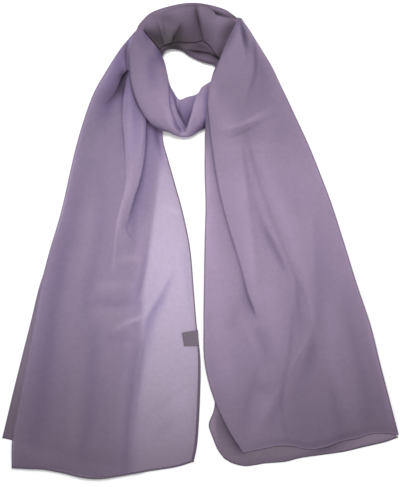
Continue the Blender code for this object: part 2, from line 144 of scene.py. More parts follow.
NECK_OVER = [
    (-83, 305, -60, 278, 11.5, 14, 0.4, 11.8), (-77, 319, -54, 282, 11.5, 19, 0.28, 11.8),
    (-65, 327, -45, 286, 11.5, 22, 0.24, 11.8), (-47, 334, -33, 288.4, 11.5, 24, 0.22, 11.8),
    (-27, 340, -20, 287.4, 11.5, 25, 0.2, 12), (-7, 342, -7, 287.4, 11.5, 25, 0.2, 12),
    (8, 340, 4, 289.4, 11.5, 24.5, 0.2, 12), (18, 332, 14, 281, 11.5, 23, 0.2, 11.8),
    (23.4, 326, 18.6, 274.6, 11.5, 22, 0.24, 11.8), (31, 324, 24, 268, 11.5, 20.5, 0.3, 11.8),
    (49, 317, 38, 256, 11.2, 17, 0.42, 11.5), (63, 300, 53, 247, 11, 14.5, 0.5, 11),
]
NECK_UNDER = [
    (-86, 291, -58, 260, 3, 9.3, 0.5, 3), (-92, 306, -55.5, 266.5, 3, 9.3, 0.5, 6),
    (-86, 317, -51, 274.5, 3, 9.3, 0.5, 6.5), (-69.6, 331.2, -40, 276.8, 3, 9.3, 0.5, 4.5),
    (-36, 341.6, -27, 273.8, 3, 9.3, 0.5, 3), (-7, 344.2, -15, 265.8, 3, 9.3, 0.45, 3),
    (22, 339, 3, 257.8, 3, 9.3, 0.42, 3), (42, 330.6, 20, 252.8, 3, 9.3, 0.42, 3),
    (61, 311, 18, 243, 3, 9.3, 0.42, 3), (74, 269, 16, 236, 3, 9.3, 0.45, 3),
    (58, 208, 15, 232, 3, 9.3, 0.5, 3),
]

# ---- hems: how far each hangs below the straight line between its corners, across the end ------------

HANG = ("across", "drop")
LEFT_HEM = [
    (0, -0.9), (0.09, 1.5), (0.18, 3.8), (0.29, 10.6), (0.39, 18), (0.48, 20.8), (0.58, 18.6), (0.75, 12.8),
    (0.9, 8.4), (1, 1.6),
]
LEFT_SECOND_HEM = [(0, 0), (0.16, 0), (0.35, 0), (0.5, 5.5), (0.68, 10), (0.8, 9), (1, 3)]
LEFT_UNDER_HEM = [(0, 2.8), (0.07, 2.4), (0.3, 1.5), (0.47, 5), (0.78, 7), (1, 0)]
RIGHT_HEM = [
    (0, 0), (0.11, -2), (0.22, -4), (0.32, -1), (0.42, 6), (0.52, 6), (0.63, 0), (0.73, -2), (0.83, -6),
    (0.93, -4), (1, 0),
]
RIGHT_UNDER_HEM = [
    (0, 0), (0.05, 8.9), (0.12, 15.4), (0.18, 15.8), (0.24, 15.1), (0.35, 16.2), (0.45, 13.3), (0.67, 12.4),
    (0.8, 8.8), (0.92, 5.6), (1, 1),
]

# ---- pleats: lines where the cloth steps up on one side and settles again over a reach ---------------
# Left and right are those of someone who walks along the line from its first row.
# The shade is painted into the hollow at the foot of the step, and fades over the shade reach.

PLEAT = ("x", "y", "height", "reach", "shade", "shade_reach")
LEFT_PLEATS = {
    "shoulder_hook": ("right", [
        (-101, 247.5, 1, 26, 0.3, 4), (-106, 247, 2.6, 26, 0.8, 6), (-110.5, 244, 3.8, 26, 0.92, 8.5),
        (-115, 237.5, 4.2, 26, 0.9, 8.5), (-118.5, 228, 3.6, 26, 0.74, 7), (-123, 218, 2.6, 26, 0.44, 8),
        (-130, 207.5, 1.4, 26, 0.2, 10), (-141.5, 196, 0, 26, 0, 12),
    ]),
    "front_strip": ("left", [
        (-105.5, 244, 1.6, 13, 0.3, 3), (-109.5, 221, 2.6, 13, 0.66, 7), (-112, 203.5, 3, 13, 0.46, 4),
        (-113, 189, 3, 13, 0.26, 3), (-113.5, 174.5, 2.8, 13, 0.08, 3), (-111.5, 157, 2.4, 13, 0.32, 2.4),
        (-110, 138, 2.2, 13, 0.28, 2.4), (-109, 109, 2, 13, 0.07, 3), (-110, 80, 1.7, 12, 0.05, 3),
        (-116.5, 51, 1.5, 11, 0.04, 3), (-123.5, 15, 1.2, 10, 0.03, 3), (-127.5, -17, 0.8, 9, 0.02, 3),
        (-128.5, -46, 0, 8, 0, 4),
    ]),
    "front_drop": ("right", [
        (-79.5, 178.5, 4.6, 17, 0.64, 6), (-80, 160, 4.8, 17, 0.62, 4.6), (-81, 134, 4.6, 17, 0.54, 5),
        (-84.5, 107.5, 4.2, 16, 0.6, 6), (-89.5, 84.5, 3.8, 15, 0.62, 7), (-97, 61.5, 3.2, 14, 0.6, 8),
        (-102.5, 42.5, 2.4, 13, 0.52, 7), (-106, 28, 1.2, 12, 0.26, 6), (-107.5, 16.5, 0, 12, 0, 5),
    ]),
}
RIGHT_PLEATS = {
    "front_edge": ("left", [
        (10, 215, 1, 18, 0.34, 2.2), (10.5, 196, 2.6, 22, 0.44, 2.4), (13.5, 167, 3.4, 24, 0.44, 2.6),
        (16.5, 141, 3.4, 26, 0.42, 2.6), (21, 109, 3.2, 26, 0.44, 2.4), (26, 80, 3, 26, 0.44, 2.4),
        (32.5, 51, 2.8, 26, 0.42, 2.4), (41.5, 18, 2.6, 26, 0.44, 2.4), (50.5, -11, 2.4, 26, 0.44, 2.6),
        (59, -39, 2.2, 26, 0.42, 2.4), (64.5, -60.5, 2, 26, 0.48, 3), (70, -81, 1.8, 24, 0.52, 4),
        (77, -98, 1.2, 22, 0.5, 4.4), (82, -114, 0, 20, 0, 3),
    ]),
    "shoulder_crease": ("left", [
        (29.5, 147, 0, 14, 0, 5), (48, 151.5, 0.9, 14, 0, 5), (62.5, 157.5, 1.2, 14, 0, 5),
        (76, 165, 1.2, 14, 0, 5), (94.5, 175.5, 0.7, 14, 0, 5), (115, 185, 0, 14, 0, 5),
    ]),
}
LOOP_PLEATS = {
    "collar_edge": ("right", [
        (-59, 264.5, 0, 10, 0, 3), (-51, 245.5, 1.6, 11, 0.1, 3), (-48, 225, 2.8, 12, 0.36, 3),
        (-46.5, 207.5, 3, 12, 0.44, 2.4), (-45, 192, 3, 12, 0.46, 2.4), (-41, 178.5, 2.8, 11, 0.48, 2.4),
        (-37, 168.5, 2.4, 9, 0.54, 2.8), (-31.5, 159, 1.6, 7, 0.56, 2.8), (-29.5, 154, 0, 5, 0, 2.5),
    ]),
    "inner_strip": ("right", [
        (-45.5, 219.5, 1, 5, 0.4, 3), (-41, 207.5, 2.4, 5, 0.6, 3), (-37, 194.5, 3, 5, 0.62, 5),
        (-33.5, 184.5, 3, 5, 0.64, 5), (-28.5, 174.5, 3, 5, 0.64, 5), (-23.5, 165.5, 2.2, 4, 0.52, 4),
        (-20, 157, 0, 3, 0, 3),
    ]),
    "right_piece": ("left", [
        (-4.5, 210.5, 1.6, 18, 0.3, 8), (-8, 203.5, 3.2, 18, 0.42, 8), (-11, 193, 4, 18, 0.48, 9),
        (-14, 183, 4, 16, 0.6, 8), (-16.5, 174.5, 3.4, 13, 0.62, 6), (-19.5, 165.5, 2.6, 10, 0.52, 5),
        (-21, 160, 1.6, 9, 0.44, 4), (-22, 154, 0, 8, 0, 3),
    ]),
}
NECK_OVER_PLEATS = {
    "middle": ("left", [
        (-7, 342.5, 1, 14, 0.22, 8), (-4, 328, 3.4, 14, 0.44, 12), (-0.5, 312, 4, 14, 0.48, 14),
        (4, 293.5, 2.4, 14, 0.3, 12), (6, 286, 1, 14, 0, 8),
    ]),
    "slanting": ("right", [
        (-28.5, 316.5, 0, 9, 0, 6), (-33.5, 306.5, 2, 9, 0.36, 8), (-39.5, 294.5, 2.4, 9, 0.44, 9),
        (-44, 284.5, 1.6, 9, 0.34, 8),
    ]),
    "collar_pocket": ("left", [
        (-62, 319.5, 0, 10, 0, 8), (-59, 308, 2, 10, 0.34, 16), (-55.5, 294.5, 2.4, 10, 0.46, 18),
        (-52, 283, 1.6, 10, 0.4, 16),
    ]),
}
NECK_UNDER_PLEATS = {
    "second_edge": ("left", [
        (-23, 277, 0.6, 10, 0, 3), (-17, 276.5, 2, 12, 0.3, 2.6), (-11, 276, 2.6, 12, 0.84, 2.8),
        (-2.5, 275, 3, 12, 0.98, 3.2), (6, 273.5, 3, 12, 0.8, 2.6), (15, 271, 3, 12, 0.66, 2),
        (22, 267.5, 3, 12, 0.86, 2.6), (31, 263, 3, 12, 0.9, 3),
    ]),
}

# ---- creases: lines along which light or shade is painted on the cloth, and it may stand up or sink ---
# Each row has a reach to either side, and a tone that is above 0 where it paints light and below 0 where
# it paints shade. The height comes last, where there is one: above 0 for a ridge and below 0 for a valley.

CREASE = ("x", "y", "left_reach", "right_reach", "tone", "height")
LEFT_CREASES = {
    "rise_to_collar": [
        (-92, 300, 60, 22, 0, 6.2), (-92, 270, 60, 22, 0, 6.2), (-88, 240, 60, 20, 0, 5.8),
        (-80, 200, 60, 18, 0, 4.2), (-66, 168, 60, 12, 0, 1.2), (-58, 150, 60, 10, 0, 0),
    ],
    "shoulder": [
        (-116, 262, 14, 16, 0, 2.6), (-128, 240, 12, 18, 0, 3.2), (-142, 205, 14, 18, 0, 2),
        (-152, 160, 14, 18, 0, 0),
    ],
    "strip_light": [
        (-106, 102, 2.4, 2, 0, 0), (-107, 87.5, 2.4, 2, 0.08, 0.5), (-110.5, 65.5, 2.2, 2, 0.14, 0.8),
        (-116.5, 44, 2.2, 2, 0.16, 0.9), (-122, 15, 2.2, 2.2, 0.14, 0.9), (-125, -14, 2.2, 2.2, 0.12, 0.8),
        (-126.5, -37.5, 3, 3, 0.12, 0.7), (-128.5, -49, 4, 4, 0, 0),
    ],
    "beside_strip": [
        (-112.5, 232.5, 8, 12, -0.2, 0), (-118.5, 218, 8, 13, -0.36, -0.6),
        (-127, 207.5, 8, 13, -0.36, -0.8), (-132.5, 197.5, 8, 14, -0.28, -0.8),
        (-136.5, 184.5, 9, 14, -0.2, -0.6), (-140.5, 171.5, 10, 14, -0.08, -0.3),
        (-144.5, 154, 10, 14, 0, 0),
    ],
    "collar_side": [
        (-107, 287.5, 3, 3, -0.24), (-108, 276, 3, 3.2, -0.54), (-108, 261.5, 3, 3.2, -0.62),
        (-107, 250, 2.8, 3, -0.54), (-106, 239.5, 2.4, 2.4, -0.24), (-105.5, 232.5, 2, 2, 0),
    ],
    "shoulder_shade": [
        (-94, 305, 6, 6, -0.5), (-101, 294.5, 6, 8, -0.5), (-112.5, 273, 10, 14, -0.42),
        (-118.5, 250, 10, 14, -0.38), (-127, 228, 8, 14, -0.24), (-136, 206.5, 10, 14, -0.18),
        (-141.5, 186, 12, 12, -0.08), (-146, 168.5, 14, 12, -0.04), (-149, 145.5, 12, 14, 0),
    ],
    "under_collar": [
        (-102, 238, 4, 3, 0), (-101, 226.5, 4, 4, -0.3), (-96, 210.5, 4.5, 4, -0.34),
        (-89, 193, 4.5, 4, -0.26), (-79.5, 177.5, 6, 6, -0.12), (-68, 164, 7, 7, -0.14),
        (-52, 154, 6, 6, -0.24),
    ],
    "hook": [
        (-107, 31, 2, 2, 0, 0), (-107.5, 20.5, 2.2, 2, -0.2, -0.9), (-106, 12, 2.2, 2, -0.2, -0.9),
        (-101, 3.5, 2.2, 2, -0.14, -0.7), (-95.5, -5.5, 2, 2, 0, 0),
    ],
    "hook_shade": [
        (-97, 38, 6, 5, -0.06, 0), (-99.5, 23.5, 7, 5, -0.16, -0.5), (-98, 9, 6, 4, -0.12, -0.4),
        (-92.5, -8.5, 5, 5, 0, 0),
    ],
    "drop_shade": [
        (-70.5, 177.5, 7, 6, -0.2), (-69, 163, 8, 8, -0.24), (-68, 148.5, 9, 9, -0.26),
        (-66.5, 131, 8, 9, -0.2), (-69, 102, 8, 8, -0.14), (-73.5, 73, 8, 8, -0.1), (-79.5, 47, 8, 8, -0.1),
        (-85, 23.5, 8, 7, -0.08), (-88, 0.5, 7, 7, 0),
    ],
    "second_dark": [
        (-73.5, 26.5, 2, 5, 0, 0), (-77, -7, 2, 6, -0.1, -0.3), (-80, -34.5, 2, 6, -0.16, -0.4),
        (-85, -60.5, 2, 6, -0.16, -0.4), (-90.5, -82.5, 2, 6, -0.12, -0.3), (-93, -99.5, 2, 5, 0, 0),
    ],
    "lower_second_dark": [
        (-86.5, -141.5, 2, 6, 0, 0), (-91, -159, 2, 7, -0.1, -0.4), (-95.5, -181, 2, 7, -0.11, -0.4),
        (-99, -214, 2, 7, -0.14, -0.4), (-103.5, -253.5, 2, 7, -0.13, -0.3), (-107, -304, 2, 7, -0.1, -0.2),
        (-108.5, -339, 2, 6, 0, 0),
    ],
    "slanting_light": [
        (-130, -140.5, 4, 4, 0, 0), (-123, -131.5, 4, 4, 0.08, 0.6), (-114, -124.5, 3.5, 4, 0.13, 0.9),
        (-102.5, -118.5, 3.5, 4, 0.17, 1.2), (-92.5, -115.5, 3.5, 4, 0.2, 1.4),
        (-83.5, -110, 3.5, 4, 0.12, 1.2), (-76.5, -98, 3, 3, 0.04, 0.6), (-70.5, -83.5, 3, 3, 0, 0),
    ],
    "slanting_dark": [
        (-36, -37.5, 4, 3, 0, 0), (-43, -53.5, 5, 3, -0.1, -0.3), (-52, -72, 6, 3.6, -0.22, -0.7),
        (-60, -86.5, 8, 4, -0.3, -0.9), (-68.5, -101, 9, 4, -0.34, -0.9), (-76, -115.5, 10, 4, -0.33, -0.9),
        (-79.5, -130, 11, 3.4, -0.3, -0.8), (-81.5, -147.5, 11, 3, -0.24, -0.7),
        (-84.5, -169.5, 10, 3, -0.14, -0.5), (-88, -198.5, 8, 3, -0.08, -0.3), (-91, -231.5, 8, 3, 0, 0),
    ],
    "upper_patch": [
        (-131.5, -30, 5, 5, 0, 0), (-120, -30, 5, 5, 0.06, 0.3), (-107, -27, 6, 6, 0.14, 0.6),
        (-94, -25.5, 6, 6, 0.12, 0.5), (-85, -23, 5, 5, 0, 0),
    ],
    "pale_patch": [
        (-157.5, -69, 8, 8, 0, 0), (-149, -69, 8, 8, 0.09, 0.5), (-134.5, -69, 8, 8, 0.12, 0.7),
        (-117, -68, 8, 8, 0.1, 0.6), (-102.5, -65, 7, 7, 0.06, 0.4), (-92.5, -62, 6, 6, 0, 0),
    ],
    "dark_patch": [
        (-175, -89.5, 6, 6, 0, 0), (-157.5, -91, 6, 6, -0.06, -0.4), (-139, -91, 6, 6, -0.09, -0.5),
        (-120, -91, 6, 6, -0.1, -0.5), (-102.5, -89.5, 6, 6, -0.08, -0.4), (-92.5, -86.5, 6, 6, 0, 0),
    ],
    "lower_pale_patch": [
        (-172, -107, 7, 7, 0, 0), (-153.5, -107, 7, 7, 0.05, 0.3), (-131.5, -107, 7, 7, 0.06, 0.4),
        (-111.5, -105.5, 7, 7, 0.05, 0.4), (-97, -102.5, 6, 6, 0, 0),
    ],
    "lower_dark_patch": [
        (-157.5, -131.5, 8, 8, 0, 0), (-140.5, -136, 8, 8, -0.04, -0.4), (-120, -140.5, 7, 8, -0.05, -0.5),
        (-99.5, -140.5, 6, 8, -0.04, -0.4), (-89.5, -136, 5, 8, 0, 0),
    ],
    "left_hollow": [
        (-166.5, 145.5, 12, 14, 0, 0), (-172, 109, 12, 14, -0.04, -0.4), (-177.5, 73, 12, 15, -0.1, -0.8),
        (-185, 36.5, 12, 16, -0.14, -1.1), (-192.5, 3.5, 12, 16, -0.17, -1.2),
        (-202.5, -31.5, 12, 16, -0.2, -1.3), (-207, -65, 11, 16, -0.22, -1.4),
        (-213, -94, 11, 16, -0.21, -1.3), (-218.5, -137.5, 12, 16, -0.2, -1.2),
        (-224.5, -181, 13, 16, -0.18, -1.1), (-230, -224.5, 14, 16, -0.16, -1),
        (-234.5, -260.5, 14, 16, -0.13, -0.8), (-243, -297, 15, 16, -0.06, -0.5),
        (-247.5, -333, 15, 16, 0, 0),
    ],
    "left_ridge": [
        (-150.5, 131, 9, 9, 0, 0), (-155, 90.5, 9, 9, 0, 0.5), (-158.5, 58.5, 9, 9, 0.04, 0.9),
        (-162, 26.5, 9, 9, 0.05, 1), (-166.5, -2.5, 9, 9, 0.06, 1), (-170.5, -31.5, 9, 9, 0.07, 0.9),
        (-179.5, -60.5, 9, 9, 0, 0.6), (-184, -89.5, 9, 9, 0, 0.6), (-186.5, -137.5, 10, 10, 0.02, 0.6),
        (-182.5, -181, 10, 10, 0.05, 0.6), (-182.5, -210, 10, 10, 0.06, 0.6),
        (-184.5, -239, 9, 9, 0.08, 0.6), (-186.5, -268, 8, 8, 0.09, 0.6), (-186.5, -297, 8, 8, 0.05, 0.4),
        (-184, -333, 8, 8, 0, 0),
    ],
    "middle_hollow": [
        (-140.5, 116.5, 9, 9, 0, 0), (-141.5, 65.5, 9, 9, -0.04, -0.4), (-144.5, 26.5, 9, 8, -0.08, -0.6),
        (-146, -2.5, 9, 8, -0.08, -0.6), (-155, -31.5, 9, 8, -0.08, -0.6),
        (-160.5, -60.5, 9, 8, -0.1, -0.6), (-168, -86.5, 9, 8, -0.09, -0.6),
        (-160.5, -123, 10, 9, -0.06, -0.4), (-156, -152, 10, 9, -0.1, -0.6),
        (-159, -181, 10, 8, -0.08, -0.5), (-156, -210, 10, 8, -0.09, -0.6),
        (-160.5, -239, 10, 8, -0.09, -0.6), (-164, -268, 9, 7, -0.11, -0.6),
        (-170.5, -297, 8, 7, -0.06, -0.4), (-175, -333, 8, 7, 0, 0),
    ],
    "middle_ridge": [
        (-131.5, -152, 12, 10, 0, 0), (-128.5, -181, 12, 10, 0.04, 0.3), (-123, -224.5, 12, 10, 0.05, 0.4),
        (-123, -268, 12, 10, 0.05, 0.4), (-131.5, -333, 10, 10, 0, 0),
    ],
    "sheer_rise": [
        (-24.5, -191, 20, 22, 0, 0), (-27, -226, 20, 22, 0.08, 0.2), (-30, -260.5, 18, 20, 0.05, 0.2),
        (-33, -297, 16, 18, 0, 0),
    ],
    "sheer_fold": [
        (-73.5, -252, 5, 5, 0, 0), (-59, -239, 5, 5, -0.05, -0.3), (-41.5, -226, 5, 5, -0.06, -0.3),
        (-24.5, -213, 5, 5, -0.04, -0.2), (-10, -202.5, 5, 5, 0, 0),
    ],
    "lower_sheer_fold": [
        (-70.5, -289.5, 5, 5, 0, 0), (-53.5, -273.5, 5, 5, -0.05, -0.3), (-36, -259, 5, 5, -0.05, -0.3),
        (-15.5, -249, 5, 5, 0, 0),
    ],
    "upper_sheer_fold": [
        (-59, 49.5, 3, 3, 0, 0), (-47.5, 47, 3, 3, 0.05, 0.2), (-36, 41, 3, 3, 0.05, 0.2),
        (-24.5, 31, 3, 3, 0, 0),
    ],
    "side_sheer_fold": [
        (-20, 6, 3, 5, 0, 0), (-21.5, -31.5, 3, 5, -0.07, -0.2), (-17, -72, 3, 5, -0.07, -0.2),
        (-15.5, -112.5, 3, 5, 0, 0),
    ],
    "strip_shade": [
        (-102.5, 232.5, 6, 4, 0), (-98, 203.5, 8, 6, -0.27), (-95.5, 183, 12, 6, -0.3),
        (-94, 160, 11, 7, -0.18), (-95.5, 131, 9, 8, -0.06), (-97, 113.5, 8, 8, 0),
    ],
    "strip_glow": [
        (-99.5, 116.5, 5, 5, 0), (-102, 90.5, 5, 4.5, 0.16), (-106, 70, 5, 4.5, 0.22),
        (-113.5, 47, 5, 4.5, 0.2), (-118.5, 26.5, 4.5, 4.5, 0.18), (-122, 0.5, 4, 4, 0.05),
        (-124.5, -17, 4, 4, 0),
    ],
    "strip_edge": [
        (-85, 192, 4, 1.5, -0.08), (-82.5, 177.5, 5, 1.5, -0.22), (-81.5, 160, 5, 1.5, -0.24),
        (-83, 138, 5, 1.5, -0.25), (-86.5, 116.5, 4, 1.5, -0.14), (-91, 93, 4, 1.5, 0),
    ],
    "beside_gap": [
        (-65, 161.5, 5, 5, -0.26), (-63, 149.5, 5, 5, -0.46), (-59, 132.5, 5, 5, -0.3),
        (-56, 115, 5, 5, -0.14), (-52, 96, 5, 5, 0),
    ],
    "hook_side": [
        (-110.5, 255.5, 4, 4, 0), (-112.5, 247, 4, 4, -0.34), (-115.5, 238, 4, 4, -0.5),
        (-119, 229.5, 4, 4, -0.2), (-123, 221, 4, 4, 0),
    ],
    "slope_light": [
        (-88, -110, 5, 6, 0.04), (-102.5, -117, 6, 12, 0.08), (-120, -124.5, 6, 14, 0.08),
        (-137.5, -133, 6, 10, 0.04), (-152, -141.5, 6, 6, 0),
    ],
    "corner_light": [
        (-271, -286.5, 8, 8, 0), (-253.5, -304, 9, 9, 0.07), (-230, -314.5, 9, 9, 0.07),
        (-201, -318.5, 9, 9, 0.03), (-175, -321.5, 8, 8, 0),
    ],
    "shoulder_dim": [
        (-160.5, 131, 14, 14, 0), (-155, 110.5, 18, 18, -0.05), (-152, 84.5, 18, 18, -0.05),
        (-152, 55.5, 14, 14, 0),
    ],
    "second_shade": [
        (-62, -31.5, 6, 6, 0), (-68, -57.5, 7, 7, -0.05), (-73.5, -81, 8, 8, -0.07),
        (-83.5, -101, 8, 8, -0.06), (-99.5, -112.5, 6, 6, 0),
    ],
    "strip_top": [
        (-108, 241, 4, 4, 0), (-107, 226.5, 4, 4, -0.14), (-107, 206.5, 4, 4, -0.15),
        (-107, 189, 4, 4, -0.08), (-107, 171.5, 4, 4, 0),
    ],
}
